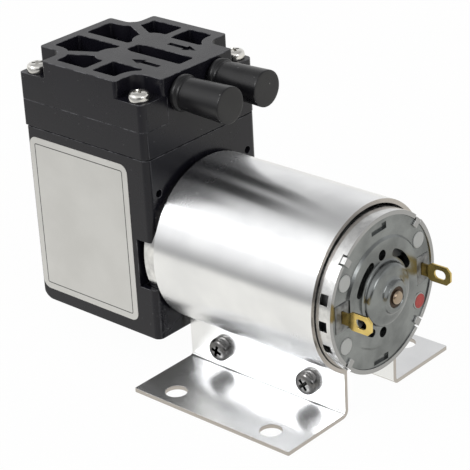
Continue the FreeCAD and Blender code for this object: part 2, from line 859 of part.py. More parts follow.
def motor_can():
    """Drawn can with a front boss, side windows and four tabs folded over the end cap."""
    inner = can_radius - can_wall
    nose = -can_nose - front_boss_length
    floor = -can_nose + can_wall
    bore = front_bush_radius + fit_gap
    profile = [
        (nose, bore), (nose, front_boss_radius), (-can_nose, front_boss_radius), (-can_nose, can_radius),
        (can_tail, can_radius), (can_tail, inner), (floor, inner), (floor, bore)]
    can = lathe(profile, (0, 0, 0, can_nose_cut, 0, 0, 0, 0))
    tools = []
    crimps = []
    windows_x = (can_tail - crimp_depth - window_length, can_tail - crimp_depth)
    for middle in (-window_lean, 180 + window_lean):
        for step in (-window_pitch, 0, window_pitch):
            tools.append(around(windows_x, inner - 1, can_radius + 1, window_width, middle + step))
    for side in sides:
        tools.append(x_rod((-can_nose - 1, 0), m3_radius + fit_gap, side * motor_screw_circle))
    for turn in (45, 135, 225, 315):
        notch_x = (can_tail - crimp_depth, can_tail + 1)
        tools.append(around(notch_x, inner - 0.5, can_radius + 1, crimp_notch_width, turn))
        top = can_radius - crimp_inset
        fold_x = (end_cap_face + fit_gap, can_tail + crimp_proud)
        stem_x = (can_tail - crimp_reach, can_tail + crimp_proud)
        crimps.append(around(fold_x, inner - crimp_reach, top, crimp_width, turn))
        crimps.append(around(stem_x, inner + fit_gap, top, crimp_width, turn))
    return can.cut(tools).fuse(crimps)


def bush(start, length, radius):
    return x_tube((start, start + length), radius, shaft_radius + running_gap)


def front_bush():
    return bush(-can_nose - front_boss_length, front_boss_length + can_wall, front_bush_radius)


def rear_bush():
    return bush(bush_start, bush_length, bush_radius)


def kidney(start, end):
    """Curved vent with round ends."""
    x = (cap_plate_back - 1, end_cap_face + plateau_height + 1)
    slot = arc_band(x, kidney_circle - kidney_width / 2, kidney_circle + kidney_width / 2, start, end)
    ends = [x_rod(x, kidney_width / 2, *off_axis(kidney_circle, turn)) for turn in (start, end)]
    return slot.fuse(ends)


def post_turns():
    return (post_turn, 180 - post_turn, 180 + post_turn, -post_turn)


def tower(side, x, gap):
    y = side * terminal_offset
    return block(x, (y - tower_size_y / 2 - gap, y + tower_size_y / 2 + gap),
                 (axis_height - tower_size_z / 2 - gap, axis_height + tower_size_z / 2 + gap))


def motor_end_cap():
    """Pressed plate with a raised middle, a domed boss and the rear bearing hub."""
    plateau = end_cap_face + plateau_height
    dome = plateau + dome_height
    hub_bore = bush_radius + fit_gap
    hollow = dome_radius - dome_wall
    profile = [
        (cap_plate_back, can_inside), (end_cap_face, can_inside),
        (end_cap_face, plateau_radius + plateau_height), (plateau, plateau_radius),
        (plateau, dome_radius), (dome, dome_radius - dome_slope), (dome, hub_radius), (hub_end, hub_radius),
        (hub_end, hub_mouth_radius), (hub_end - hub_lip, hub_mouth_radius), (hub_end - hub_lip, hub_bore),
        (bush_start, hub_bore), (bush_start, hollow), (cap_plate_back, hollow)]
    cap = lathe(profile, (0, 0, 0, 0, 0, dome_cut, 0, 0, 0, 0, 0, 0, 0, 0))
    x = (cap_plate_back - 1, end_cap_face + plateau_height + 1)
    tools = [kidney(start, end) for start, end in kidney_turns]
    for turn in vent_turns:
        tools.append(x_rod(x, vent_radius, *off_axis(vent_circle, turn)))
    for circle, turn in ((lance_upper, lance_turn), (lance_lower, -lance_turn)):
        tools.append(around(x, circle - lance_width / 2, circle + lance_width / 2, lance_length, turn))
    for turn in post_turns():
        tools.append(x_rod(x, post_radius + fit_gap, *off_axis(post_circle, turn)))
    for side in sides:
        tools.append(tower(side, x, fit_gap))
    return cap.cut(tools)


def brush_card():
    """Plastic card behind the end cap, with posts and terminal towers that come through it."""
    x = (card_front, card_front + card_thickness)
    root = x[1] - card_root
    proud = end_cap_face + post_proud
    height = (axis_height - card_height / 2, axis_height + card_height / 2)
    card = end_prism(rectangle((-card_width / 2, card_width / 2), height), card_corner, x)
    card = card.common(x_rod(x, can_inside))
    card = card.cut(x_rod((x[0] - 1, x[1] + 1), card_hole_radius))
    for turn in post_turns():
        card = card.fuse(x_rod((root, proud), post_radius, *off_axis(post_circle, turn)))
    for side in sides:
        card = card.fuse(tower(side, (root, proud), 0))
    slots = []
    width = terminal_neck + 2 * running_gap
    for side in sides:
        y = side * terminal_offset
        half = terminal_thickness / 2 + running_gap
        slots.append(block((x[0] - 1, end_cap_face + 1), (y - half, y + half),
                           (axis_height - width / 2, axis_height + width / 2)))
    return card.cut(slots)


def polarity_mark():
    y, z = off_axis(post_circle, -post_turn)
    start = end_cap_face + post_proud
    return x_rod((start, start + mark_thickness), post_radius - post_proud, y, z)


def terminal(side):
    """Brass tab with a narrow neck and a wider eye with chamfered corners."""
    neck = terminal_neck / 2
    eye = terminal_eye_width / 2
    chamfer = terminal_eye_width / 4
    tip = end_cap_face + terminal_reach
    neck_end = end_cap_face + terminal_neck_reach
    eye_start = end_cap_face + terminal_eye_reach
    points = [
        (card_front, -neck), (neck_end, -neck), (eye_start, -eye), (tip - chamfer, -eye),
        (tip, -eye + chamfer), (tip, eye - chamfer), (tip - chamfer, eye), (eye_start, eye),
        (neck_end, neck), (card_front, neck)]
    y = side * terminal_offset
    span = (y - terminal_thickness / 2, y + terminal_thickness / 2)
    tab = side_prism([(x, axis_height + z) for x, z in points], 0.0, span)
    middle = end_cap_face + terminal_hole_reach
    half_length = terminal_hole_length / 2
    half_width = terminal_hole_width / 2
    hole = side_prism(
        rectangle((middle - half_length, middle + half_length),
                  (axis_height - half_width, axis_height + half_width)),
        half_width * 0.97, (span[0] - 1, span[1] + 1))
    return tab.cut(hole)


def magnets():
    x = (magnet_start, magnet_start + magnet_length)
    half = magnet_span / 2
    inner = can_inside - magnet_thickness
    return [arc_band(x, inner, can_inside, middle - half, middle + half) for middle in (0, 180)]


def magnet_clips():
    """Bowed spring pins wedged between the two magnets."""
    x = (magnet_start, magnet_start + magnet_length - clip_inset)
    inner = can_inside - magnet_thickness / 2 - clip_thickness / 2
    half = (180 - magnet_span) / 2 - clip_end_turn
    return [arc_band(x, inner, inner + clip_thickness, turn - half, turn + half) for turn in (90, -90)]


# Rotor

def motor_shaft():
    return x_rod((-shaft_front, shaft_tip), shaft_radius)


def armature_core():
    x = (armature_start, armature_start + armature_length)
    core = x_tube(x, armature_radius, shaft_radius)
    cut_x = (x[0] - 1, x[1] + 1)
    slots = []
    for turn in slot_turns():
        room = arc_band(cut_x, core_radius, armature_radius - pole_shoe, turn - slot_turn, turn + slot_turn)
        slots.append(room)
        slots.append(around(cut_x, core_radius + 1, armature_radius + 1, pole_slot, turn))
    return core.cut(slots)


def slot_turns():
    return [360 / pole_count * (i + 0.5) for i in range(pole_count)]


def windings():
    """Copper in the armature's slots, with an end turn at each side."""
    armature_end = armature_start + armature_length
    x = (armature_start - winding_overhang, armature_end + winding_overhang)
    outer = armature_radius - pole_shoe - fit_gap
    ring = outer - fit_gap
    inner = core_radius + fit_gap
    coils = [arc_band(x, inner, outer, turn - coil_turn, turn + coil_turn) for turn in slot_turns()]
    sleeve = shaft_radius + coil_sleeve
    coils.append(x_tube((x[0], armature_start - fit_gap), ring, sleeve))
    coils.append(x_tube((armature_end + fit_gap, x[1]), ring, sleeve))
    return coils[0].fuse(coils[1:])


def commutator():
    x = (commutator_start, commutator_start + commutator_length)
    drum = x_tube(x, commutator_radius, shaft_radius)
    cut_x = (x[0] - 1, x[1] + 1)
    slits = []
    for i in range(pole_count):
        turn = 360 / pole_count * i
        slits.append(around(cut_x, commutator_radius - 1, commutator_radius + 1, commutator_slit, turn))
    return drum.cut(slits)


def brushes():
    x = (brush_start, brush_start + brush_length)
    inner = commutator_radius + running_gap
    brush = block(x, (inner, commutator_radius + brush_reach),
                  (axis_height - brush_height / 2, axis_height + brush_height / 2))
    return both_sides(brush)


def brush_arms():
    """Spring strips that carry the brushes and join them to the terminals."""
    inner = commutator_radius + brush_reach
    outer = terminal_offset + terminal_thickness / 2
    height = (axis_height - arm_width / 2, axis_height + arm_width / 2)
    strip = block((brush_start - arm_thickness, card_front), (inner, inner + arm_thickness), height)
    foot = block((card_front - arm_thickness, card_front), (inner, outer), height)
    return both_sides(strip.fuse(foot))


# Crank and rod

def eccentric():
    """Hub on the motor's shaft, with a counterweight and the crank pin."""
    start = -eccentric_start
    end = -eccentric_end
    hub = x_rod((end, start), eccentric_radius)
    weight = x_rod((-weight_end, start), weight_radius).cut(
        block((-weight_end - 1, start + 1), (-weight_radius - 1, weight_radius + 1),
              (axis_height - weight_radius - 1, axis_height + throw / 2)))
    pin_end = crank_plane - bearing_width / 2
    pin = x_rod((pin_end, end + 1), pin_radius, 0, pin_height)
    shoulder = x_rod((crank_plane + bearing_width / 2 + running_gap, end + 1), shoulder_radius, 0, pin_height)
    solid = hub.fuse([weight, pin, shoulder])
    solid = solid.cut(x_rod((-shaft_front - fit_gap, start + 1), shaft_radius + running_gap))
    screw_z = (axis_height - eccentric_radius - 1, axis_height)
    return solid.cut(z_rod(screw_z, m3_radius + fit_gap, -set_screw_place, 0))


def eccentric_set_screw():
    low = axis_height - eccentric_radius + set_screw_inset
    screw = z_rod((low, axis_height - shaft_radius - running_gap), m3_radius, -set_screw_place, 0)
    socket = plan_prism(hexagon_points(socket_radius), 0.0, (low - 1, low + socket_depth))
    socket.translate(vec(-set_screw_place, 0, 0))
    return screw.cut(socket)


def bearing_span():
    return (crank_plane - bearing_width / 2, crank_plane + bearing_width / 2)


def bearing_inner_race():
    return x_tube(bearing_span(), pin_radius + race_wall, pin_radius, 0, pin_height)


def bearing_outer_race():
    return x_tube(bearing_span(), race_radius, race_radius - race_wall, 0, pin_height)


def bearing_rollers():
    inner = pin_radius + race_wall
    outer = race_radius - race_wall
    circle = (inner + outer) / 2
    radius = (outer - inner) / 2 - running_gap
    x = (crank_plane - roller_length / 2, crank_plane + roller_length / 2)
    rollers = []
    for i in range(roller_count):
        turn = 2 * math.pi * i / roller_count
        rollers.append(x_rod(x, radius, circle * math.sin(turn), pin_height + circle * math.cos(turn)))
    return rollers


def connecting_rod():
    """Big end round the bearing, a flat shank and a round plate under the diaphragm."""
    x = (crank_plane - rod_width / 2, crank_plane + rod_width / 2)
    eye = x_rod(x, race_radius + rod_eye_wall, 0, pin_height)
    shank = block(x, (-rod_shank / 2, rod_shank / 2), (pin_height, rod_plate_top - rod_plate / 2))
    plate = z_rod((rod_plate_top - rod_plate, rod_plate_top), rod_plate_radius, crank_plane, 0)
    rod = eye.fuse([shank, plate])
    rod = rod.cut(x_rod((x[0] - 1, x[1] + 1), race_radius, 0, pin_height))
    top = rod_plate_top + diaphragm_thickness + disc_thickness
    screw_z = (top - disc_screw_length - fit_gap, top)
    return rod.cut(z_rod(screw_z, disc_screw_radius + running_gap, crank_plane, 0))


def diaphragm():
    """Rubber diaphragm: low in the middle, where the rod holds it, and high at its clamped rim."""
    low = rod_plate_top
    high = case_top - diaphragm_thickness
    bore = disc_screw_radius + fit_gap
    inner = rod_plate_radius + diaphragm_margin
    outer = diaphragm_opening - diaphragm_margin
    fold = diaphragm_fold
    top = low + diaphragm_thickness
    profile = [
        (bore, low), (inner, low), (outer, high), (diaphragm_radius, high), (diaphragm_radius, case_top),
        (outer - fold, case_top), (inner - fold, top), (bore, top)]
    return upright_lathe(profile, crank_plane, 0)


def clamp_disc():
    low = rod_plate_top + diaphragm_thickness
    bore = disc_screw_radius + fit_gap
    head = disc_screw_head + fit_gap
    top = low + disc_thickness
    profile = [(bore, low), (disc_radius, low), (disc_radius, top), (head, top)]
    return upright_lathe(profile, crank_plane, 0)


def diaphragm_screw():
    low = rod_plate_top + diaphragm_thickness
    top = low + disc_thickness
    tip = top - disc_screw_length
    shank = disc_screw_radius
    profile = [(0, tip), (shank, tip), (shank, low), (disc_screw_head, top), (0, top)]
    screw = upright_lathe(profile, crank_plane, 0)
    half_length = disc_recess_length / 2
    half_width = disc_recess_width / 2
    arm = block((-half_length, half_length), (-half_width, half_width), (top - disc_recess_depth, top + 1))
    tools = [placed(arm, vec(0, 0, 1), turn, crank_plane, 0, 0) for turn in (0, 90)]
    return screw.cut(tools)


def motor_screws():
    """Screws from the crank chamber through the front wall into the motor's front."""
    screw = pan_screw(m3_radius, motor_screw_length, m3_head_radius, motor_screw_head_height)
    start = -recess_depth - front_wall
    return [placed(screw, vec(0, 1, 0), -90, start, side * motor_screw_circle, axis_height) for side in sides]


os.makedirs("parts", exist_ok=True)
save("head_cover", head_cover())
save("valve_body", valve_body())
save("valve_sheet", valve_sheet())
save("inlet_flap", valve_flap(-1))
save("outlet_flap", valve_flap(1))
save("head_screws", head_screws())
save("inlet_cap", port_cap(-1))
save("outlet_cap", port_cap(1))
save("crankcase", crankcase())
save("rating_label", rating_label())
save("clamp_bracket", clamp_bracket())
save("bracket_screws", bracket_screws())
save("bracket_nuts", bracket_nuts())
save("motor_can", motor_can())
save("front_bush", front_bush())
save("rear_bush", rear_bush())
save("motor_end_cap", motor_end_cap())
save("brush_card", brush_card())
save("polarity_mark", polarity_mark())
save("terminals", [terminal(side) for side in sides])
save("magnets", magnets())
save("magnet_clips", magnet_clips())
save("motor_shaft", motor_shaft())
save("armature_core", armature_core())
save("windings", windings())
save("commutator", commutator())
save("brushes", brushes())
save("brush_arms", brush_arms())
save("eccentric", eccentric())
save("eccentric_set_screw", eccentric_set_screw())
save("bearing_inner_race", bearing_inner_race())
save("bearing_outer_race", bearing_outer_race())
save("bearing_rollers", bearing_rollers())
save("connecting_rod", connecting_rod())
save("diaphragm", diaphragm())
save("clamp_disc", clamp_disc())
save("diaphragm_screw", diaphragm_screw())
save("motor_screws", motor_screws())
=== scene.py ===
# %% [markdown]
# # Mini vacuum pump
# A small pump of this kind is a black moulded head with two hose nozzles, bolted to a
# little can motor that a bent, bright sheet clamps and carries. This notebook dresses the
# engineering model of that pump: it keeps every solid where it is, gives each one a worked
# finish, and adds the small forms that only the eye needs.

import bmesh
import bpy
import json
import math
from mathutils import Matrix, Vector


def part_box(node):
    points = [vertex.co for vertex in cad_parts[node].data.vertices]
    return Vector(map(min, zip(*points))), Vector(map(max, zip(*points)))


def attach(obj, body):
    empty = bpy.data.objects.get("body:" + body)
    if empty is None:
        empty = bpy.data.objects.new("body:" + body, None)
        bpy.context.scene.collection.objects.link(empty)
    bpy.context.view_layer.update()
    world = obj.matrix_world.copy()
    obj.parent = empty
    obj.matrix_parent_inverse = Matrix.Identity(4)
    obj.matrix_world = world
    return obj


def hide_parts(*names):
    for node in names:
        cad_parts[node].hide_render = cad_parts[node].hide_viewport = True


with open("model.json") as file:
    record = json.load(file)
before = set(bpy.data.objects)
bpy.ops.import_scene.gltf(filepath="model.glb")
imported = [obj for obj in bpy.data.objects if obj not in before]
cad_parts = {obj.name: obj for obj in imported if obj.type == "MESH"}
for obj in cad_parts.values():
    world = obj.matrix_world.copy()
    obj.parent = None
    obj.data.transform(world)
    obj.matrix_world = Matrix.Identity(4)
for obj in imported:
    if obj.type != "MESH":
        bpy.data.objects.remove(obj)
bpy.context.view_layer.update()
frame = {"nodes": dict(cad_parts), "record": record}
nodes = frame["nodes"]
MM = 0.001
print("nodes:", len(nodes))


# %% [markdown]
# ## The camera
# Product pictures of small parts are taken with a long lens from well back, so edges stay
# nearly parallel. A camera has a place, a direction and a lens. The direction is built here
# from three angles, as a tripod head has: how far round, how far up, and how far it leans.

# %% Place the camera
PICTURE_SIDE = 470
FOCAL_PIXELS = 1891.9
CAMERA_ROUND = math.radians(42.694)
CAMERA_UP = math.radians(25.567)
CAMERA_LEAN = math.radians(-3.198)
CAMERA_PLACE = Vector((0.2440, -0.2812, 0.2127))

toward_camera = Vector((
    math.sin(CAMERA_ROUND) * math.cos(CAMERA_UP),
    -math.cos(CAMERA_ROUND) * math.cos(CAMERA_UP),
    math.sin(CAMERA_UP)))
level = Vector((math.cos(CAMERA_ROUND), math.sin(CAMERA_ROUND), 0))
upright = toward_camera.cross(level)
camera_right = math.cos(CAMERA_LEAN) * level + math.sin(CAMERA_LEAN) * upright
camera_top = math.cos(CAMERA_LEAN) * upright - math.sin(CAMERA_LEAN) * level
turn = Matrix((camera_right, camera_top, toward_camera)).transposed()

camera_data = bpy.data.cameras.new("camera")
camera_data.sensor_width = 36
camera_data.lens = FOCAL_PIXELS * camera_data.sensor_width / PICTURE_SIDE
camera = bpy.data.objects.new("camera", camera_data)
camera.matrix_world = Matrix.Translation(CAMERA_PLACE) @ turn.to_4x4()
bpy.context.scene.collection.objects.link(camera)
bpy.context.scene.camera = camera
bpy.context.scene.view_settings.view_transform = "Standard"
print("lens:", round(camera_data.lens, 1), "mm")


# %% [markdown]
# ## Light
# Bright sheet metal has hardly any colour of its own: it shows the room. So the room comes
# first. The world is a soft dome made of three ramps from the floor to the ceiling. In front
# of the pump is a bright panel above a darker strip, which gives the sleeve its stripes. The
# corner past the motor's end is dark near the horizon, which shapes the end cap's bell, and
# the room behind the pump is pale. Rays straight from the camera see plain white instead,
# through Light Path.

# %% Small helpers for node trees
def put(tree, kind, **values):
    """Add one shader node, with its settings and the values of its sockets."""
    node = tree.nodes.new("ShaderNode" + kind)
    for key, value in values.items():
        if hasattr(node, key):
            setattr(node, key, value)
        else:
            node.inputs[key.replace("_", " ")].default_value = value
    return node


def wire(tree, *pairs):
    for source, target in pairs:
        tree.links.new(source, target)


def ramp(tree, stops):
    """Colour ramp from (place, grey or colour) stops."""
    node = tree.nodes.new("ShaderNodeValToRGB")
    line = node.color_ramp
    while len(line.elements) < len(stops):
        line.elements.new(0.5)
    for element, (place, tone) in zip(line.elements, stops):
        element.position = place
        rgb = (tone, tone, tone) if isinstance(tone, float) else tone
        element.color = (*rgb, 1)
    return node


# %% Light the dome
FRONT = (
    (0.0, 0.62), (0.37, 0.60), (0.41, 0.40), (0.46, 0.40),
    (0.52, 0.70), (0.60, 1.1), (0.88, 1.25), (1.0, 0.7))
BESIDE = ((0.0, 0.62), (0.42, 0.50), (0.49, 0.10), (0.60, 0.10), (0.70, 0.80), (0.82, 1.2), (1.0, 0.7))
BEHIND = ((0.0, 0.62), (0.50, 0.90), (0.60, 0.95), (0.72, 0.90), (0.88, 0.42), (1.0, 0.6))
TURN_TO_BEHIND = (-0.25, 0.05)
TURN_TO_BESIDE = (0.15, 0.55)
world = bpy.data.worlds.new("studio")
bpy.context.scene.world = world
world.use_nodes = True
tree = world.node_tree
tree.nodes.clear()
where = put(tree, "TexCoord")
split = put(tree, "SeparateXYZ")
height = put(tree, "MapRange")
height.inputs["From Min"].default_value = -1
depth = put(tree, "MapRange")
depth.inputs["From Min"].default_value = TURN_TO_BEHIND[0]
depth.inputs["From Max"].default_value = TURN_TO_BEHIND[1]
side = put(tree, "MapRange")
side.inputs["From Min"].default_value = TURN_TO_BESIDE[0]
side.inputs["From Max"].default_value = TURN_TO_BESIDE[1]
front = ramp(tree, FRONT)
beside = ramp(tree, BESIDE)
near_half = put(tree, "MixRGB")
behind = ramp(tree, BEHIND)
dome = put(tree, "MixRGB")
light_path = put(tree, "LightPath")
seen = put(tree, "MixRGB")
seen.inputs[2].default_value = (1, 1, 1, 1)
sky = put(tree, "Background")
end = put(tree, "OutputWorld")
wire(tree,
     (where.outputs["Generated"], split.inputs[0]), (split.outputs["Z"], height.inputs["Value"]),
     (split.outputs["Y"], depth.inputs["Value"]), (depth.outputs[0], dome.inputs[0]),
     (height.outputs[0], front.inputs[0]), (height.outputs[0], behind.inputs[0]),
     (split.outputs["X"], side.inputs["Value"]), (side.outputs[0], near_half.inputs[0]),
     (height.outputs[0], beside.inputs[0]), (front.outputs[0], near_half.inputs[1]),
     (beside.outputs[0], near_half.inputs[2]), (near_half.outputs[0], dome.inputs[1]),
     (behind.outputs[0], dome.inputs[2]), (dome.outputs[0], seen.inputs[1]),
     (light_path.outputs["Is Camera Ray"], seen.inputs[0]), (seen.outputs[0], sky.inputs["Color"]),
     (sky.outputs[0], end.inputs["Surface"]))


# %% [markdown]
# ## Floor and lamps
# The floor is a sheet of paper whose near edge lies a hand's width in front of the pump. To
# the camera it is nearly white, with a little of the real shading left so that the pump still
# has a contact shadow. Mirror-like parts see it as pale card, and past its edge they see the
# darker strip. Two soft area lamps add the direction that a dome alone doesn't have.

# %% Lay the floor
SHEET_SIZE = 1.6
SHEET_IN_FRONT = 0.15
WHITE_TO_CAMERA = 0.975
bm = bmesh.new()
bmesh.ops.create_grid(
    bm, x_segments=1, y_segments=1, size=SHEET_SIZE / 2,
    matrix=Matrix.Translation((0, SHEET_SIZE / 2 - SHEET_IN_FRONT, 0)))
mesh = bpy.data.meshes.new("floor")
bm.to_mesh(mesh)
bm.free()
floor = bpy.data.objects.new("floor", mesh)
bpy.context.scene.collection.objects.link(floor)

paper = bpy.data.materials.new("white_paper")
paper.use_nodes = True
tree = paper.node_tree
tree.nodes.clear()
card = put(tree, "BsdfDiffuse", Color=(0.72, 0.71, 0.69, 1))
white = put(tree, "Emission", Color=(1, 1, 1, 1))
pale = put(tree, "Emission", Color=(0.98, 0.97, 0.93, 1))
light_path = put(tree, "LightPath")
for_camera = put(tree, "MixShader")
for_mirror = put(tree, "MixShader")
either = put(tree, "Math", operation="MAXIMUM")
share = put(tree, "Math", operation="MULTIPLY")
share.inputs[1].default_value = WHITE_TO_CAMERA
end = put(tree, "OutputMaterial")
wire(tree,
     (light_path.outputs["Is Glossy Ray"], either.inputs[0]),
     (light_path.outputs["Is Transmission Ray"], either.inputs[1]),
     (either.outputs[0], for_mirror.inputs[0]), (card.outputs[0], for_mirror.inputs[1]),
     (pale.outputs[0], for_mirror.inputs[2]), (light_path.outputs["Is Camera Ray"], share.inputs[0]),
     (share.outputs[0], for_camera.inputs[0]), (for_mirror.outputs[0], for_camera.inputs[1]),
     (white.outputs[0], for_camera.inputs[2]), (for_camera.outputs[0], end.inputs["Surface"]))
mesh.materials.append(paper)


# %% Hang the lamps
PUMP_MIDDLE = (0, 0, 0.03)


def lamp(name, place, aim, size, power):
    """Square area lamp that faces a point."""
    data = bpy.data.lights.new(name, "AREA")
    data.size = size
    data.energy = power
    lamp_object = bpy.data.objects.new(name, data)
    direction = Vector(aim) - Vector(place)
    lamp_object.matrix_world = (
        Matrix.Translation(place) @ direction.to_track_quat("-Z", "Y").to_matrix().to_4x4())
    bpy.context.scene.collection.objects.link(lamp_object)


lamp("key_lamp", (-0.35, -0.75, 0.65), PUMP_MIDDLE, size=0.35, power=3.0)
lamp("fill_lamp", (0.75, -0.15, 0.35), PUMP_MIDDLE, size=0.3, power=1.0)


# %% [markdown]
# ## Shared surface effects
# Every finish below is made from the same few effects: slow drift of colour, fine moulded
# grain, long streaks from rolling or drawing, uneven gloss, and specks of dust. Each one is a
# node group with named inputs and outputs, so a finish only chooses values for it. All of
# them read Object coordinates, which stay with the part when it moves.

# %% Build the groups
def new_group(name, inputs, outputs):
    group = bpy.data.node_groups.new(name, "ShaderNodeTree")
    for title, kind, value in inputs:
        socket = group.interface.new_socket(name=title, in_out="INPUT", socket_type="NodeSocket" + kind)
        socket.default_value = value
    for title, kind in outputs:
        group.interface.new_socket(name=title, in_out="OUTPUT", socket_type="NodeSocket" + kind)
    return group, group.nodes.new("NodeGroupInput"), group.nodes.new("NodeGroupOutput")


def drift_group():
    """Colour that wanders between two close tones."""
    group, start, end = new_group(
        "colour_drift",
        [("Vector", "Vector", (0, 0, 0)), ("Scale", "Float", 60.0), ("Tone A", "Color", (0.5, 0.5, 0.5, 1)),
         ("Tone B", "Color", (0.6, 0.6, 0.6, 1)), ("Edge Tone", "Color", (0.7, 0.7, 0.7, 1)),
         ("Edge Rub", "Float", 0.3)],
        [("Color", "Color")])
    cloud = put(group, "TexNoise", Detail=4.0)
    spread = ramp(group, ((0.35, 0.0), (0.65, 1.0)))
    mix = put(group, "MixRGB")
    # Marked edges are mixed toward the edge tone in patches: rubbed wear, and on the black plastic partly a
    # painted highlight along the bevels.
    edge = put(group, "Attribute", attribute_name="edge")
    patch = put(group, "TexNoise", Detail=3.0)
    patch_scale = put(group, "Math", operation="MULTIPLY")
    patch_scale.inputs[1].default_value = 7.0
    patch_ramp = ramp(group, ((0.40, 0.15), (0.62, 1.0)))
    rub = put(group, "Math", operation="MULTIPLY")
    edge_amount = put(group, "Math", operation="MULTIPLY")
    edge_toned = put(group, "MixRGB")
    wire(group,
         (start.outputs["Vector"], cloud.inputs["Vector"]), (start.outputs["Scale"], cloud.inputs["Scale"]),
         (cloud.outputs[0], spread.inputs[0]), (spread.outputs[0], mix.inputs[0]),
         (start.outputs["Tone A"], mix.inputs[1]), (start.outputs["Tone B"], mix.inputs[2]),
         (start.outputs["Vector"], patch.inputs["Vector"]), (start.outputs["Scale"], patch_scale.inputs[0]),
         (patch_scale.outputs[0], patch.inputs["Scale"]), (patch.outputs[0], patch_ramp.inputs[0]),
         (patch_ramp.outputs[0], rub.inputs[0]), (edge.outputs["Fac"], rub.inputs[1]),
         (rub.outputs[0], edge_amount.inputs[0]), (start.outputs["Edge Rub"], edge_amount.inputs[1]),
         (edge_amount.outputs[0], edge_toned.inputs[0]), (mix.outputs[0], edge_toned.inputs[1]),
         (start.outputs["Edge Tone"], edge_toned.inputs[2]), (edge_toned.outputs[0], end.inputs["Color"]))
    return group


def grain_group():
    """Fine pebbled height of a spark-eroded mould, with a slow swell under it."""
    group, start, end = new_group(
        "moulded_grain",
        [("Vector", "Vector", (0, 0, 0)), ("Scale", "Float", 2500.0), ("Swell", "Float", 0.3)],
        [("Height", "Float")])
    fine = put(group, "TexNoise", Detail=2.0, Roughness=0.6)
    slow = put(group, "TexNoise", Detail=1.0)
    slow_scale = put(group, "Math", operation="MULTIPLY")
    slow_scale.inputs[1].default_value = 0.06
    swell = put(group, "Math", operation="MULTIPLY")
    total = put(group, "Math", operation="ADD")
    wire(group,
         (start.outputs["Vector"], fine.inputs["Vector"]), (start.outputs["Scale"], fine.inputs["Scale"]),
         (start.outputs["Vector"], slow.inputs["Vector"]), (start.outputs["Scale"], slow_scale.inputs[0]),
         (slow_scale.outputs[0], slow.inputs["Scale"]), (slow.outputs[0], swell.inputs[0]),
         (start.outputs["Swell"], swell.inputs[1]), (fine.outputs[0], total.inputs[0]),
         (swell.outputs[0], total.inputs[1]), (total.outputs[0], end.inputs["Height"]))
    return group


def streak_group():
    """Long marks that rolling, drawing or grinding leaves, stretched by a direction."""
    group, start, end = new_group(
        "long_streaks",
        [("Vector", "Vector", (0, 0, 0)), ("Stretch", "Vector", (1, 1, 1)), ("Scale", "Float", 900.0)],
        [("Height", "Float"), ("Mask", "Float")])
    squeeze = put(group, "VectorMath", operation="MULTIPLY")
    streaks = put(group, "TexNoise", Detail=5.0, Roughness=0.65)
    mask = ramp(group, ((0.42, 0.0), (0.68, 1.0)))
    wire(group,
         (start.outputs["Vector"], squeeze.inputs[0]), (start.outputs["Stretch"], squeeze.inputs[1]),
         (squeeze.outputs[0], streaks.inputs["Vector"]), (start.outputs["Scale"], streaks.inputs["Scale"]),
         (streaks.outputs[0], mask.inputs[0]), (streaks.outputs[0], end.inputs["Height"]),
         (mask.outputs[0], end.inputs["Mask"]))
    return group


def gloss_group():
    """Roughness that varies in soft patches, and rises in the streaks."""
    group, start, end = new_group(
        "uneven_gloss",
        [("Vector", "Vector", (0, 0, 0)), ("Scale", "Float", 90.0), ("Low", "Float", 0.3),
         ("High", "Float", 0.5), ("Streaks", "Float", 0.0)],
        [("Roughness", "Float")])
    cloud = put(group, "TexNoise", Detail=6.0, Roughness=0.6)
    blend = put(group, "Math", operation="ADD", use_clamp=True)
    spread = put(group, "MapRange")
    spread.inputs["From Min"].default_value = 0.3
    spread.inputs["From Max"].default_value = 0.75
    wire(group,
         (start.outputs["Vector"], cloud.inputs["Vector"]), (start.outputs["Scale"], cloud.inputs["Scale"]),
         (cloud.outputs[0], blend.inputs[0]), (start.outputs["Streaks"], blend.inputs[1]),
         (blend.outputs[0], spread.inputs["Value"]), (start.outputs["Low"], spread.inputs["To Min"]),
         (start.outputs["High"], spread.inputs["To Max"]), (spread.outputs[0], end.inputs["Roughness"]))
    return group


def dust_group():
    """Sparse pale specks."""
    group, start, end = new_group(
        "dust_specks",
        [("Vector", "Vector", (0, 0, 0)), ("Scale", "Float", 700.0), ("Amount", "Float", 0.3),
         ("Color", "Color", (0.5, 0.5, 0.5, 1)), ("Dust", "Color", (0.6, 0.6, 0.58, 1))],
        [("Color", "Color")])
    cells = put(group, "TexVoronoi")
    dots = ramp(group, ((0.05, 1.0), (0.12, 0.0)))
    choice = put(group, "TexNoise", Detail=1.0)
    some = ramp(group, ((0.55, 0.0), (0.62, 1.0)))
    mask = put(group, "Math", operation="MULTIPLY")
    amount = put(group, "Math", operation="MULTIPLY")
    mix = put(group, "MixRGB")
    wire(group,
         (start.outputs["Vector"], cells.inputs["Vector"]), (start.outputs["Scale"], cells.inputs["Scale"]),
         (cells.outputs["Distance"], dots.inputs[0]), (start.outputs["Vector"], choice.inputs["Vector"]),
         (start.outputs["Scale"], choice.inputs["Scale"]), (choice.outputs[0], some.inputs[0]),
         (dots.outputs[0], mask.inputs[0]), (some.outputs[0], mask.inputs[1]),
         (mask.outputs[0], amount.inputs[0]), (start.outputs["Amount"], amount.inputs[1]),
         (amount.outputs[0], mix.inputs[0]),
         (start.outputs["Color"], mix.inputs[1]), (start.outputs["Dust"], mix.inputs[2]),
         (mix.outputs[0], end.inputs["Color"]))
    return group


drift = drift_group()
grain = grain_group()
streak = streak_group()
gloss = gloss_group()
dust = dust_group()
print("groups:", [group.name for group in (drift, grain, streak, gloss, dust)])
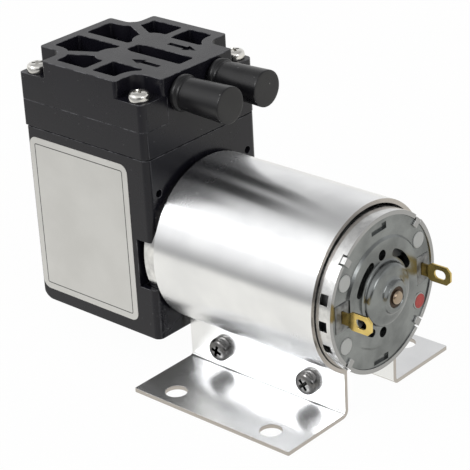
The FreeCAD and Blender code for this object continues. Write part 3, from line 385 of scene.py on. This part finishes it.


# %% [markdown]
# ## Finishes
# One function turns a short description into a full material: a base colour that drifts,
# marked edges mixed toward their own tone in patches (rubbed wear, and on the black plastic partly a
# painted highlight), dust, uneven gloss, and a bump from grain or streaks. Values
# that are the same all over the piece, such as Metallic, sit on the shader's own socket.

# %% Make a finish from a description
def place_group(tree, group, **values):
    node = tree.nodes.new("ShaderNodeGroup")
    node.node_tree = group
    for key, value in values.items():
        node.inputs[key.replace("_", " ")].default_value = value
    return node


def finish(name, tone_a, tone_b, gloss_low, gloss_high, metallic=0.0, drift_scale=90.0, edge_tone=None,
           edge_tone_weight=0.3, dust_amount=0.0, grain_scale=2600.0, grain_depth=0.0, swell=0.3, stretch=None,
           streak_scale=900.0, streak_depth=0.0, streak_gloss=0.0, specular=0.5, coat=0.0, brushed=0.0):
    """Procedural material, with its texture nodes on Object coordinates."""
    material = bpy.data.materials.new(name)
    material.use_nodes = True
    tree = material.node_tree
    tree.nodes.clear()
    where = put(tree, "TexCoord").outputs["Object"]
    shader = put(tree, "BsdfPrincipled", Metallic=metallic)
    shader.inputs["Specular IOR Level"].default_value = specular
    shader.inputs["Coat Weight"].default_value = coat
    shader.inputs["Coat Roughness"].default_value = 0.12
    shader.inputs["Anisotropic"].default_value = brushed
    if brushed:
        along_x = put(tree, "CombineXYZ", X=1.0)
        wire(tree, (along_x.outputs[0], shader.inputs["Tangent"]))
    end = put(tree, "OutputMaterial")
    colour = place_group(
        tree, drift, Scale=drift_scale, Tone_A=(*tone_a, 1), Tone_B=(*tone_b, 1),
        Edge_Tone=(*(edge_tone or tone_b), 1), Edge_Rub=edge_tone_weight)
    specks = place_group(tree, dust, Amount=dust_amount)
    shine = place_group(tree, gloss, Low=gloss_low, High=gloss_high)
    wire(tree,
         (where, colour.inputs["Vector"]), (where, specks.inputs["Vector"]), (where, shine.inputs["Vector"]),
         (colour.outputs["Color"], specks.inputs["Color"]),
         (specks.outputs["Color"], shader.inputs["Base Color"]),
         (shine.outputs["Roughness"], shader.inputs["Roughness"]), (shader.outputs[0], end.inputs["Surface"]))
    normal = None
    if grain_depth:
        pebbles = place_group(tree, grain, Scale=grain_scale, Swell=swell)
        bump = put(tree, "Bump", Distance=grain_depth * MM)
        wire(tree, (where, pebbles.inputs["Vector"]), (pebbles.outputs["Height"], bump.inputs["Height"]))
        normal = bump.outputs[0]
    if stretch:
        marks = place_group(tree, streak, Stretch=stretch, Scale=streak_scale)
        bump = put(tree, "Bump", Distance=streak_depth * MM)
        amount = put(tree, "Math", operation="MULTIPLY")
        amount.inputs[1].default_value = streak_gloss
        wire(tree, (where, marks.inputs["Vector"]), (marks.outputs["Height"], bump.inputs["Height"]),
             (marks.outputs["Mask"], amount.inputs[0]), (amount.outputs[0], shine.inputs["Streaks"]))
        if normal:
            wire(tree, (normal, bump.inputs["Normal"]))
        normal = bump.outputs[0]
    if normal:
        wire(tree, (normal, shader.inputs["Normal"]))
    return material


# %% [markdown]
# ## The finishes of this pump
# Black parts are glass-filled plastic with a fine grain. The bracket is bright-rolled sheet,
# the can is drawn steel with marks that run round it, and the end cap is satin plated. The
# pieces inside get finishes too, because a pump like this is opened for service.

# %% Choose every finish
ALONG_X = (0.03, 1.0, 1.0)
ROUND_X = (1.0, 0.02, 0.02)
finishes = {
    # The black plastic's pale edge tone is partly rubbed wear and partly a painted highlight: the thin line
    # of light along its bevelled edges.
    "black_plastic": finish(
        "black_moulded_plastic", (0.005, 0.005, 0.008), (0.008, 0.0075, 0.011), 0.20, 0.36,
        edge_tone=(0.12, 0.12, 0.13), edge_tone_weight=0.8, dust_amount=0.12, grain_depth=0.008, swell=0.6,
        specular=0.30),
    "cap_rubber": finish(
        "cap_rubber", (0.004, 0.004, 0.005), (0.009, 0.009, 0.010), 0.24, 0.42, drift_scale=220.0,
        dust_amount=0.35, grain_depth=0.008, grain_scale=1400.0, specular=0.36),
    "valve_rubber": finish(
        "valve_rubber", (0.03, 0.03, 0.032), (0.045, 0.045, 0.048), 0.5, 0.7, grain_depth=0.01),
    "bright_screw": finish(
        "nickel_screw", (0.80, 0.78, 0.74), (0.66, 0.65, 0.62), 0.14, 0.32, metallic=1.0, drift_scale=400.0,
        grain_depth=0.004, edge_tone=(0.9, 0.89, 0.86)),
    "dark_screw": finish(
        "dark_nickel_screw", (0.20, 0.195, 0.19), (0.12, 0.12, 0.12), 0.14, 0.26, metallic=1.0,
        drift_scale=400.0, grain_depth=0.002, edge_tone=(0.4, 0.4, 0.4)),
    "label_sheet": finish(
        "label_film", (0.55, 0.545, 0.52), (0.51, 0.505, 0.48), 0.42, 0.58, grain_depth=0.002, swell=1.0,
        edge_tone=(0.02, 0.02, 0.022), edge_tone_weight=8.0),
    "bright_sheet": finish(
        "bright_rolled_sheet", (0.86, 0.865, 0.87), (0.80, 0.805, 0.815), 0.22, 0.28, metallic=1.0,
        stretch=ROUND_X, streak_scale=2400.0, streak_depth=0.0015, streak_gloss=0.06, brushed=0.9,
        edge_tone=(0.46, 0.43, 0.40), edge_tone_weight=8.0),
    "can_steel": finish(
        "drawn_can_steel", (0.74, 0.74, 0.73), (0.55, 0.55, 0.55), 0.10, 0.24, metallic=1.0,
        drift_scale=420.0, stretch=ROUND_X, streak_scale=1600.0, streak_depth=0.008, streak_gloss=0.3,
        edge_tone=(0.34, 0.34, 0.34), edge_tone_weight=8.0),
    "end_cap_metal": finish(
        "satin_end_cap", (0.24, 0.252, 0.25), (0.15, 0.158, 0.158), 0.17, 0.30, metallic=0.94,
        drift_scale=160.0, grain_depth=0.006, edge_tone=(0.5, 0.51, 0.52), edge_tone_weight=0.8),
    # The dark tones are painted shade for the inside of the motor seen through the end cap's holes; the pale
    # edge tone is the card's own colour, shown on the post ends.
    "card_plastic": finish(
        "card_plastic", (0.030, 0.031, 0.033), (0.045, 0.046, 0.048), 0.36, 0.5, grain_depth=0.006,
        edge_tone=(0.40, 0.41, 0.40), edge_tone_weight=8.0),
    "red_paint": finish(
        "red_paint_dot", (0.40, 0.014, 0.010), (0.30, 0.011, 0.008), 0.3, 0.45, drift_scale=900.0,
        grain_depth=0.01, grain_scale=900.0),
    "brass_tab": finish(
        "stamped_brass", (0.72, 0.55, 0.19), (0.52, 0.37, 0.11), 0.12, 0.24, metallic=1.0, drift_scale=260.0,
        stretch=(0.05, 1.0, 1.0), streak_scale=1500.0, streak_depth=0.002, edge_tone=(0.92, 0.74, 0.42)),
    # The bush sits in the hub's recess, and its tones are darkened well below bronze as painted shade of that
    # recess.
    "bush_bronze": finish(
        "sintered_bronze_painted_shade", (0.07, 0.045, 0.03), (0.04, 0.026, 0.018), 0.35, 0.5, metallic=0.9,
        drift_scale=500.0, grain_depth=0.01),
    "magnet": finish(
        "ferrite", (0.05, 0.05, 0.052), (0.075, 0.075, 0.078), 0.45, 0.6, grain_depth=0.015, metallic=0.2),
    "spring_steel": finish(
        "spring_steel", (0.45, 0.46, 0.48), (0.36, 0.37, 0.39), 0.25, 0.4, metallic=1.0, stretch=ALONG_X,
        streak_depth=0.003),
    "shaft_steel": finish(
        "ground_shaft", (0.46, 0.38, 0.29), (0.30, 0.23, 0.17), 0.09, 0.2, metallic=1.0, stretch=ROUND_X,
        streak_scale=3000.0, streak_depth=0.0015, streak_gloss=0.2),
    "core_steel": finish(
        "core_laminations", (0.30, 0.30, 0.31), (0.20, 0.20, 0.21), 0.35, 0.5, metallic=1.0, stretch=ROUND_X,
        streak_scale=2000.0, streak_depth=0.03),
    "copper": finish(
        "enamelled_copper", (0.62, 0.22, 0.09), (0.45, 0.14, 0.05), 0.2, 0.35, metallic=0.9, stretch=ALONG_X,
        streak_scale=1800.0, streak_depth=0.05, coat=0.3),
    "commutator_copper": finish(
        "commutator_copper", (0.68, 0.34, 0.18), (0.52, 0.25, 0.13), 0.22, 0.4, metallic=1.0, stretch=ROUND_X,
        streak_scale=2400.0, streak_depth=0.006),
    "brush_carbon": finish(
        "brush_carbon", (0.02, 0.02, 0.021), (0.04, 0.04, 0.042), 0.45, 0.65, grain_depth=0.012),
    "crank_metal": finish(
        "die_cast_metal", (0.52, 0.53, 0.54), (0.42, 0.43, 0.44), 0.3, 0.45, metallic=1.0, grain_depth=0.015,
        edge_tone=(0.75, 0.75, 0.75)),
    "race_steel": finish(
        "bearing_steel", (0.70, 0.70, 0.71), (0.60, 0.60, 0.62), 0.06, 0.14, metallic=1.0, stretch=ROUND_X,
        streak_scale=3000.0, streak_depth=0.001),
    "rod_plastic": finish(
        "acetal", (0.74, 0.73, 0.69), (0.68, 0.67, 0.63), 0.32, 0.46, grain_depth=0.01),
    "diaphragm_rubber": finish(
        "diaphragm_rubber", (0.025, 0.025, 0.027), (0.04, 0.04, 0.043), 0.5, 0.7, grain_depth=0.012),
}

print("finishes:", len(finishes))


# %% [markdown]
# ## Tools for making pieces
# The engineering solids come in as loose triangles with knife-sharp edges, and real mouldings
# and pressings never have those: every edge catches a thin line of light. So a solid is
# copied, its triangles are merged, and its sharp edges get a small bevel. Round pieces are
# turned instead: a profile is drawn once and spun about its axis, which stays rounder than the
# solid's facets. Holes are cut with a Boolean, whose result is read back once. Bevelled faces
# carry an attribute called edge, which the finishes read to give them an edge tone; on the black
# plastic that lighter tone is partly rubbed wear and partly a painted highlight.

# %% Shape helpers
FLAT_ANGLE = 0.6
slot_of = {part["node"]: part["material_slot"] for part in frame["record"]["subparts"]}
bodies = frame["record"]["behaviour"]["bodies"]
body_of = {node: body for body, members in bodies.items() for node in members}


def merged(node):
    """Copy of a CAD node with its loose triangles joined into flat faces."""
    bm = bmesh.new()
    bm.from_mesh(nodes[node].data)
    bmesh.ops.remove_doubles(bm, verts=bm.verts, dist=2e-6)
    bmesh.ops.dissolve_limit(
        bm, angle_limit=math.radians(FLAT_ANGLE), verts=bm.verts, edges=bm.edges, delimit={"NORMAL"})
    return bm


def bevelled(bm, width, segments=2, sharp_angle=34.0):
    """Round the outward edges by a width in millimetres, and mark the new faces."""
    limit = math.radians(sharp_angle)
    sharp = [edge for edge in bm.edges if edge.is_manifold and edge.calc_face_angle_signed(0.0) > limit]
    rounded = bmesh.ops.bevel(
        bm, geom=sharp, offset=width * MM, offset_type="OFFSET", segments=segments, profile=0.5,
        affect="EDGES", clamp_overlap=False, material=-1)["faces"]
    mark = edge_layer(bm)
    for face in rounded:
        if face.is_valid:
            for loop in face.loops:
                loop[mark] = 1.0
    return bm


def edge_layer(bm):
    return bm.loops.layers.float.get("edge") or bm.loops.layers.float.new("edge")


def eased(points, rounds=2):
    """Cut the corners of an open run of points again and again, until it flows."""
    for _ in range(rounds):
        cut = [points[0]]
        for (a, b), (c, d) in zip(points, points[1:]):
            cut.append((0.75 * a + 0.25 * c, 0.75 * b + 0.25 * d))
            cut.append((0.25 * a + 0.75 * c, 0.25 * b + 0.75 * d))
        points = cut + [points[-1]]
    return points


def turned(profile, segments=96):
    """Closed solid spun about X from a closed run of (x, radius) points in millimetres."""
    bm = bmesh.new()
    verts = [bm.verts.new((x * MM, 0, radius * MM)) for x, radius in profile]
    edges = []
    for first, second in zip(verts, verts[1:] + verts[:1]):
        on_axis = first.co.z == 0 and second.co.z == 0
        if not on_axis:
            edges.append(bm.edges.new((first, second)))
    bmesh.ops.spin(
        bm, geom=verts + edges, cent=(0, 0, 0), axis=(1, 0, 0), angle=2 * math.pi, steps=segments,
        use_merge=True, use_duplicate=False)
    bmesh.ops.remove_doubles(bm, verts=bm.verts, dist=1e-7)
    bmesh.ops.recalc_face_normals(bm, faces=bm.faces)
    return bm


def box_solid(bm, low, high):
    """Add a box between two corners in metres, and give back its corners."""
    middle = (Vector(low) + Vector(high)) / 2
    size = Vector(high) - Vector(low)
    made = bmesh.ops.create_cube(bm, size=1, matrix=Matrix.Translation(middle) @ Matrix.Diagonal((*size, 1)))
    return made["verts"]


def rod_solid(bm, start, end, radius, segments=40):
    """Add a cylinder between two points in metres."""
    axis = Vector(end) - Vector(start)
    middle = (Vector(start) + Vector(end)) / 2
    lay = Matrix.Translation(middle) @ axis.to_track_quat("Z", "Y").to_matrix().to_4x4()
    bmesh.ops.create_cone(
        bm, cap_ends=True, segments=segments, radius1=radius, radius2=radius, depth=axis.length, matrix=lay)


def cut_away(bm, tools):
    """Take a group of tools, which may overlap, out of a solid."""
    pieces = []
    for part in (bm, tools):
        bmesh.ops.recalc_face_normals(part, faces=part.faces)
        mesh = bpy.data.meshes.new("rough")
        part.to_mesh(mesh)
        part.free()
        pieces.append(bpy.data.objects.new("rough", mesh))
        bpy.context.scene.collection.objects.link(pieces[-1])
    cut = pieces[0].modifiers.new("cut", "BOOLEAN")
    cut.operation = "DIFFERENCE"
    cut.solver = "EXACT"
    cut.use_self = True
    cut.object = pieces[1]
    result = bmesh.new()
    result.from_object(pieces[0], bpy.context.evaluated_depsgraph_get())
    for piece in pieces:
        rough = piece.data
        bpy.data.objects.remove(piece)
        bpy.data.meshes.remove(rough)
    return result


def adopt(name, bm, node, smooth_angle=48.0):
    """Turn a bmesh into a finished piece that stands for a node and rides on its body."""
    smooth_limit = math.radians(smooth_angle)
    slot = slot_of[node]
    for face in bm.faces:
        face.smooth = True
    for edge in bm.edges:
        edge.smooth = not (edge.is_manifold and edge.calc_face_angle(0.0) > smooth_limit)
    edge_layer(bm)
    mesh = bpy.data.meshes.new(name)
    bm.to_mesh(mesh)
    bm.free()
    mesh.materials.append(finishes[slot])
    piece = bpy.data.objects.new(name, mesh)
    bpy.context.scene.collection.objects.link(piece)
    even = piece.modifiers.new("even_normals", "WEIGHTED_NORMAL")
    even.keep_sharp = True
    even.weight = 90
    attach(piece, body_of[node])
    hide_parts(node)
    print(name, "faces:", len(mesh.polygons))


# %% [markdown]
# ## Paint every solid
# Each engineering solid takes the finish of its material slot. That covers the pieces inside,
# which are seen when the caps come off or through the vents.

# %% Give the solids their finishes
for node, cad_object in nodes.items():
    cad_object.data.materials.clear()
    cad_object.data.materials.append(finishes[slot_of[node]])


# %% [markdown]
# ## Moulded and pressed pieces
# These have the right shape already, so a bevel is all they need. The widths are what such
# pieces have: a tenth of a millimetre or two on a moulding, and half that on cut sheet.

# %% Bevel the mouldings and pressings
SOFT_EDGES = {
    "valve_body": 0.08, "crankcase": 0.12, "terminals": 0.05, "bracket_nuts": 0.12, "rear_bush": 0.04,
    "front_bush": 0.1, "diaphragm": 0.2, "clamp_disc": 0.2, "diaphragm_screw": 0.1, "connecting_rod": 0.25,
    "eccentric": 0.15, "bearing_outer_race": 0.15, "bearing_inner_race": 0.15, "inlet_flap": 0.08,
    "outlet_flap": 0.08, "motor_screws": 0.12, "magnets": 0.2, "brushes": 0.12, "windings": 0.5}
for node, width in SOFT_EDGES.items():
    adopt(node + "_soft", bevelled(merged(node), width), node)


# %% [markdown]
# ## The brush card's stakes
# The card's own colour is the pale tone that its post ends show; the rest of its finish is dark,
# as painted shade for the inside of the motor seen through the end cap's holes. Its posts and
# towers come through the plate and are flattened with a hot tool. The posts' ends get the full
# edge mark and show the pale tone, and the towers' ends get a little of it, so they are only a
# little greyer than the painted shade. The card's finish is pale where the mark is.

# %% Mark the flattened ends
TOWER_REACH = 4
TOWER_MARK = 0.06
POST_MARK = 1.0
bm = bevelled(merged("brush_card"), 0.25, segments=3)
mark = edge_layer(bm)
low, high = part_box("brush_card")
through = high.x - 0.5 * MM
for face in bm.faces:
    middle = face.calc_center_median()
    on_tower = abs(middle.z - (low.z + high.z) / 2) < TOWER_REACH * MM
    pale = TOWER_MARK if on_tower else POST_MARK
    for loop in face.loops:
        loop[mark] = pale if middle.x > through else 0.0
adopt("brush_card_staked", bm, "brush_card")


# %% [markdown]
# ## The motor's shaft
# The shaft's two ends are ground to a dome, so its bevel is wide and has more steps.

# %% Round the shaft's ends
SHAFT_DOME = 0.7
shaft = bevelled(merged("motor_shaft"), SHAFT_DOME, segments=5, sharp_angle=60)
adopt("motor_shaft_ground", shaft, "motor_shaft")


# %% [markdown]
# ## Cut edges of sheet
# The bracket and the can are sheared from bright sheet, so their faces shine and their cut
# edges and holes show the duller core. A cut face is one that looks along X, or an upright
# face in the thickness of a foot. Those get the edge mark, and the finish greys them.

# %% Mark the cut faces and bevel the sheet
FOOT_SHEET = 1.0
for node in ("clamp_bracket", "motor_can"):
    bm = bevelled(merged(node), 0.06)
    mark = edge_layer(bm)
    for face in bm.faces:
        in_foot = node == "clamp_bracket" and face.calc_center_median().z < FOOT_SHEET * MM
        cut = abs(face.normal.x) > 0.9 or (in_foot and abs(face.normal.z) < 0.5)
        for loop in face.loops:
            loop[mark] = float(cut)
    adopt(node + "_sheared", bm, node)


# %% [markdown]
# ## The head cover and its flow arrows
# Two arrows on the lands of the crown say which way the air goes, in at one nozzle and out at
# the other. They are sunk into the moulding, so a Boolean cuts them after the edges are
# bevelled. One arrow is a thin bar and a three-sided head, and the other is the same, turned.

# %% Bevel the cover and sink the arrows
ARROW_LENGTH = 8.3
ARROW_BAR = 1.3
ARROW_HEAD = 3.2
ARROW_DEPTH = 0.4
ARROW_FROM_END = 28.0
ARROW_OVERLAP = 0.2
cover_low, cover_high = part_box("head_cover")
cap_low, cap_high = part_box("outlet_cap")
land_y = (cap_low.y + cap_high.y) / 2
arrow_x = cover_low.x + ARROW_FROM_END * MM
sunk = cover_high.z - ARROW_DEPTH * MM
tools = bmesh.new()
for side in (-1, 1):
    tip = arrow_x + side * ARROW_LENGTH / 2 * MM
    tail = tip - side * ARROW_LENGTH * MM
    neck = tip - side * (ARROW_HEAD - ARROW_OVERLAP) * MM
    y = side * land_y
    half_bar = ARROW_BAR / 2 * MM
    box_solid(
        tools, (min(tail, neck), y - half_bar, sunk),
        (max(tail, neck), y + half_bar, cover_high.z + MM))
    radius = ARROW_HEAD * 2 / 3 * MM
    lay = Matrix.Translation((tip - side * radius, y, sunk + MM))
    lay = lay @ Matrix.Diagonal((1, 0.8, 1, 1)) @ Matrix.Rotation(-side * math.pi / 2, 4, "Z")
    bmesh.ops.create_cone(
        tools, cap_ends=True, segments=3, radius1=radius, radius2=radius, depth=2 * MM, matrix=lay)
cover = cut_away(bevelled(merged("head_cover"), 0.15), tools)
adopt("head_cover_soft", cover, "head_cover")


# %% [markdown]
# ## Rubber caps
# A travel cap is moulded soft rubber. It has a bead where it is pushed home, a shallow neck
# after it, and a body that opens a little to a flat end with a rounded rim. All of that is one
# profile, spun round the nozzle's axis.

# %% Turn the two caps
BEAD = 1.3
NECK = 0.5
END_WALL = 2.0
BORE = 3.06
for node in ("inlet_cap", "outlet_cap"):
    low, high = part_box(node)
    start = low.x / MM
    end = high.x / MM
    radius = (high.z - low.z) / 2 / MM
    outer = eased([
        (start, BORE + 0.3), (start, radius - 0.2), (start + 0.2, radius), (start + BEAD, radius),
        (start + BEAD + 0.1, radius - NECK), (start + BEAD + 0.8, radius - NECK - 0.1),
        (start + BEAD + 1.2, radius - NECK + 0.05)])
    rim = eased([(end - 1.4, radius - 0.05), (end - 0.1, radius), (end, radius - 0.15), (end, radius - 1.4)])
    bm = turned(outer + rim + [(end, 0), (end - END_WALL, 0), (end - END_WALL, BORE), (start, BORE)])
    bmesh.ops.translate(bm, verts=bm.verts, vec=(0, (low.y + high.y) / 2, (low.z + high.z) / 2))
    adopt(node + "_rubber", bm, node)


# %% [markdown]
# ## Screws
# A pan-head screw is a turned piece with a cross-shaped recess punched in its head, so it is
# made the same way: spin the head and the threaded shank, then cut two tapered arms out of it.
# The thread is drawn as rings at its pitch, which looks the same as a helix at this size.

# %% Make one screw, which points along -X from its seat at X = 0
THREAD_PITCH = 0.5
THREAD_DEPTH = 0.16


def pan_head_screw(head_radius, head_height, shank_radius, shank_length):
    """One screw with a cross recess, all sizes in millimetres."""
    root = shank_radius - THREAD_DEPTH
    crown = eased([
        (head_height, 0), (head_height, head_radius * 0.55), (head_height * 0.86, head_radius * 0.88),
        (head_height * 0.55, head_radius), (head_height * 0.08, head_radius), (0, head_radius - 0.1)])
    shank = [(0, shank_radius)]
    for ring in range(int(shank_length / THREAD_PITCH) - 1):
        crest = -THREAD_PITCH * (ring + 0.5)
        shank += [(crest, shank_radius), (crest - THREAD_PITCH / 2, root)]
    screw = turned(crown + shank + [(-shank_length, root * 0.8), (-shank_length, 0)], segments=48)
    floor = head_height * 0.3
    half_wide = head_radius * 0.14
    half_long = head_radius * 0.64
    tools = bmesh.new()
    for turn in (0, math.pi / 2):
        corners = box_solid(
            tools, Vector((floor, -half_long, -half_wide)) * MM,
            Vector((head_height + 1, half_long, half_wide)) * MM)
        for corner in corners:
            if corner.co.x < (floor + 0.01) * MM:
                corner.co.y *= 0.5
        bmesh.ops.rotate(tools, cent=(0, 0, 0), matrix=Matrix.Rotation(turn, 3, "X"), verts=corners)
    return cut_away(screw, tools)


def place_screws(name, node, screw, spots):
    """One piece made of several copies of a screw, each turned its own way."""
    mesh = bpy.data.meshes.new("one_screw")
    screw.to_mesh(mesh)
    screw.free()
    group = bmesh.new()
    for spot in spots:
        before = len(group.verts)
        group.from_mesh(mesh)
        group.verts.ensure_lookup_table()
        bmesh.ops.transform(group, matrix=spot, verts=group.verts[before:])
    bpy.data.meshes.remove(mesh)
    adopt(name, group, node, smooth_angle=40)


# %% Place the head screws
HEAD_RADIUS = 2.4
HEAD_HEIGHT = 2.0
HEAD_SHANK = 1.25
low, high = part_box("head_screws")
long_part = (high.z - low.z) / MM - HEAD_HEIGHT
upright = Matrix.Rotation(-math.pi / 2, 4, "Y")
spots = []
for x in (low.x + HEAD_RADIUS * MM, high.x - HEAD_RADIUS * MM):
    for y in (low.y + HEAD_RADIUS * MM, high.y - HEAD_RADIUS * MM):
        turn = Matrix.Rotation(40 * x / MM + 9 * y / MM, 4, "Z")
        spots.append(Matrix.Translation((x, y, high.z - HEAD_HEIGHT * MM)) @ turn @ upright)
screw = pan_head_screw(HEAD_RADIUS, HEAD_HEIGHT, HEAD_SHANK, long_part)
place_screws("head_screws_turned", "head_screws", screw, spots)


# %% Place the clamp screws
CLAMP_RADIUS = 2.75
CLAMP_HEIGHT = 2.4
CLAMP_SHANK = 1.5
low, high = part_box("bracket_screws")
long_part = (high.y - low.y) / MM - CLAMP_HEIGHT
level = Matrix.Rotation(-math.pi / 2, 4, "Z")
spots = []
for x, degrees in ((low.x + CLAMP_RADIUS * MM, 15), (high.x - CLAMP_RADIUS * MM, 50)):
    turn = Matrix.Rotation(math.radians(degrees), 4, "Y")
    spots.append(Matrix.Translation((x, low.y + CLAMP_HEIGHT * MM, (low.z + high.z) / 2)) @ turn @ level)
screw = pan_head_screw(CLAMP_RADIUS, CLAMP_HEIGHT, CLAMP_SHANK, long_part)
place_screws("bracket_screws_turned", "bracket_screws", screw, spots)


# %% [markdown]
# ## The motor's end cap
# The end cap is pressed from plate: a flat rim, a low raised middle, and a bell that flows up
# to the bearing hub. Vents, stake holes and openings for the terminals are punched through it.
# The bell's curve comes from easing a few points, and the holes from one Boolean.

# %% Turn the end cap
low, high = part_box("motor_end_cap")
axis_z = (low.z + high.z) / 2
back = low.x / MM
rim = (high.y - low.y) / 2 / MM
PLATE = 1.2
RAISED = 0.5
HUB_LENGTH = 3.15
HUB_BORE = 2.85
BELL_MOUTH = 5.8
BELL = (
    (0, 7.7), (0.15, 7.25), (0.9, 7.15), (1.7, 6.75), (2.0, 5.6), (2.15, 4.5),
    (2.5, 3.8), (3.3, 3.6), (3.5, 3.3), (3.5, 2.75), (3.35, 2.4), (HUB_LENGTH, 2.3))
face_x = back + PLATE
raised_x = face_x + RAISED
bell = eased([(raised_x + rise, radius) for rise, radius in BELL])
flat = [
    (back, rim), (face_x, rim), (face_x, 16.0), (face_x, 14.0), (face_x, 12.7),
    (raised_x, 12.2), (raised_x, 10.0)]
inside = [
    (raised_x + HUB_LENGTH, HUB_BORE), (raised_x, HUB_BORE), (raised_x, BELL_MOUTH),
    (back, BELL_MOUTH), (back, 10.0), (back, 14.0)]
cap = turned(flat + bell + inside, segments=128)


# %% Punch the vents and holes
THROUGH = 3


def ring_point(x, radius, degrees):
    """Point on a circle round X, in metres from millimetres."""
    turn = math.radians(degrees)
    return Vector((x, radius * math.cos(turn), radius * math.sin(turn))) * MM


def hole_on_ring(tools, x, circle, degrees, radius):
    """Round tool through the plate at one place on a circle."""
    rod_solid(
        tools, ring_point(x - THROUGH, circle, degrees), ring_point(x + THROUGH, circle, degrees),
        radius * MM)


def block_on_ring(tools, circle, degrees, wide, high, floor=-THROUGH):
    """Square tool into the plate from a floor below its face, turned to face along its circle."""
    corners = box_solid(
        tools, Vector((face_x + floor, circle - high / 2, -wide / 2)) * MM,
        Vector((face_x + THROUGH, circle + high / 2, wide / 2)) * MM)
    turn = Matrix.Rotation(math.radians(degrees), 3, "X")
    bmesh.ops.rotate(tools, cent=(0, 0, 0), matrix=turn, verts=corners)


VENT_CIRCLE = 8.9
VENT_WIDTH = 1.8
KIDNEYS = ((118, 160), (24, 64), (-160, -118))
ROUND_VENT_CIRCLE = 9.1
ROUND_VENT_RADIUS = 1.2
POST_CIRCLE = 14.7
POST_RADIUS = 1.95
LANCE_WIDE = 5.0
LANCE_HIGH = 1.6
LANCE_DEPTH = 0.6
TOWER_CIRCLE = 13.8
TOWER_WIDE = 6.5
TOWER_HIGH = 4.5
tools = bmesh.new()
for start, stop in KIDNEYS:
    lay = Matrix.Rotation(math.radians(start), 4, "X")
    lay = lay @ Matrix.Translation(Vector((raised_x, VENT_CIRCLE, 0)) * MM)
    lay = lay @ Matrix.Diagonal((2 * THROUGH * MM, VENT_WIDTH * MM, 1, 1))
    slot = bmesh.ops.create_grid(tools, x_segments=1, y_segments=1, size=0.5, matrix=lay)["verts"]
    bmesh.ops.spin(
        tools, geom=slot[0].link_faces[:], cent=(0, 0, 0), axis=(1, 0, 0), angle=math.radians(stop - start),
        steps=20, use_merge=False, use_duplicate=False)
    for degrees in (start, stop):
        hole_on_ring(tools, raised_x, VENT_CIRCLE, degrees, VENT_WIDTH / 2)
for degrees in (93, -94):
    hole_on_ring(tools, raised_x, ROUND_VENT_CIRCLE, degrees, ROUND_VENT_RADIUS)
for degrees in (30, 150, 210, -30):
    hole_on_ring(tools, face_x, POST_CIRCLE, degrees, POST_RADIUS)
for circle, degrees in ((15.2, 93), (15.7, -93)):
    block_on_ring(tools, circle, degrees, LANCE_WIDE, LANCE_HIGH, floor=-LANCE_DEPTH)
for degrees in (0, 180):
    block_on_ring(tools, TOWER_CIRCLE, degrees, TOWER_WIDE, TOWER_HIGH)
cap = cut_away(cap, tools)
bmesh.ops.translate(cap, verts=cap.verts, vec=(0, 0, axis_z))
adopt("motor_end_cap_pressed", cap, "motor_end_cap", smooth_angle=35)


# %% [markdown]
# ## The label
# The label is thin film with rounded corners and a fine printed border, and nothing on it. The
# border is a narrow ring of faces made by two insets, with the same edge mark as above, and
# this finish turns the mark to ink.

# %% Cut the label and rule its border
LABEL_CORNER = 2.0
BORDER_INSET = 1.5
BORDER_LINE = 0.22
low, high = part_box("rating_label")
label = bmesh.new()
sheet = bmesh.ops.create_grid(
    label, x_segments=1, y_segments=1, size=0.5,
    matrix=Matrix.Translation(((low.x + high.x) / 2, low.y, (low.z + high.z) / 2))
    @ Matrix.Rotation(math.pi / 2, 4, "X") @ Matrix.Diagonal((high.x - low.x, high.z - low.z, 1, 1)))
bmesh.ops.bevel(
    label, geom=sheet["verts"], offset=LABEL_CORNER * MM, offset_type="OFFSET", segments=6, profile=0.5,
    affect="VERTICES", clamp_overlap=False, material=-1)
front_face = label.faces[:]
bmesh.ops.inset_region(
    label, faces=front_face, thickness=BORDER_INSET * MM, use_boundary=True, use_even_offset=True)
line = bmesh.ops.inset_region(
    label, faces=front_face, thickness=BORDER_LINE * MM, use_boundary=True, use_even_offset=True)["faces"]
ink = edge_layer(label)
for ring_face in line:
    for loop in ring_face.loops:
        loop[ink] = 1.0
rim_edges = [edge for edge in label.edges if edge.is_boundary]
walls = bmesh.ops.extrude_edge_only(label, edges=rim_edges)["geom"]
bmesh.ops.translate(
    label, verts=[item for item in walls if isinstance(item, bmesh.types.BMVert)], vec=(0, high.y - low.y, 0))
bmesh.ops.holes_fill(label, edges=[edge for edge in label.edges if edge.is_boundary], sides=0)
bmesh.ops.recalc_face_normals(label, faces=label.faces)
adopt("rating_label_film", label, "rating_label", smooth_angle=30)
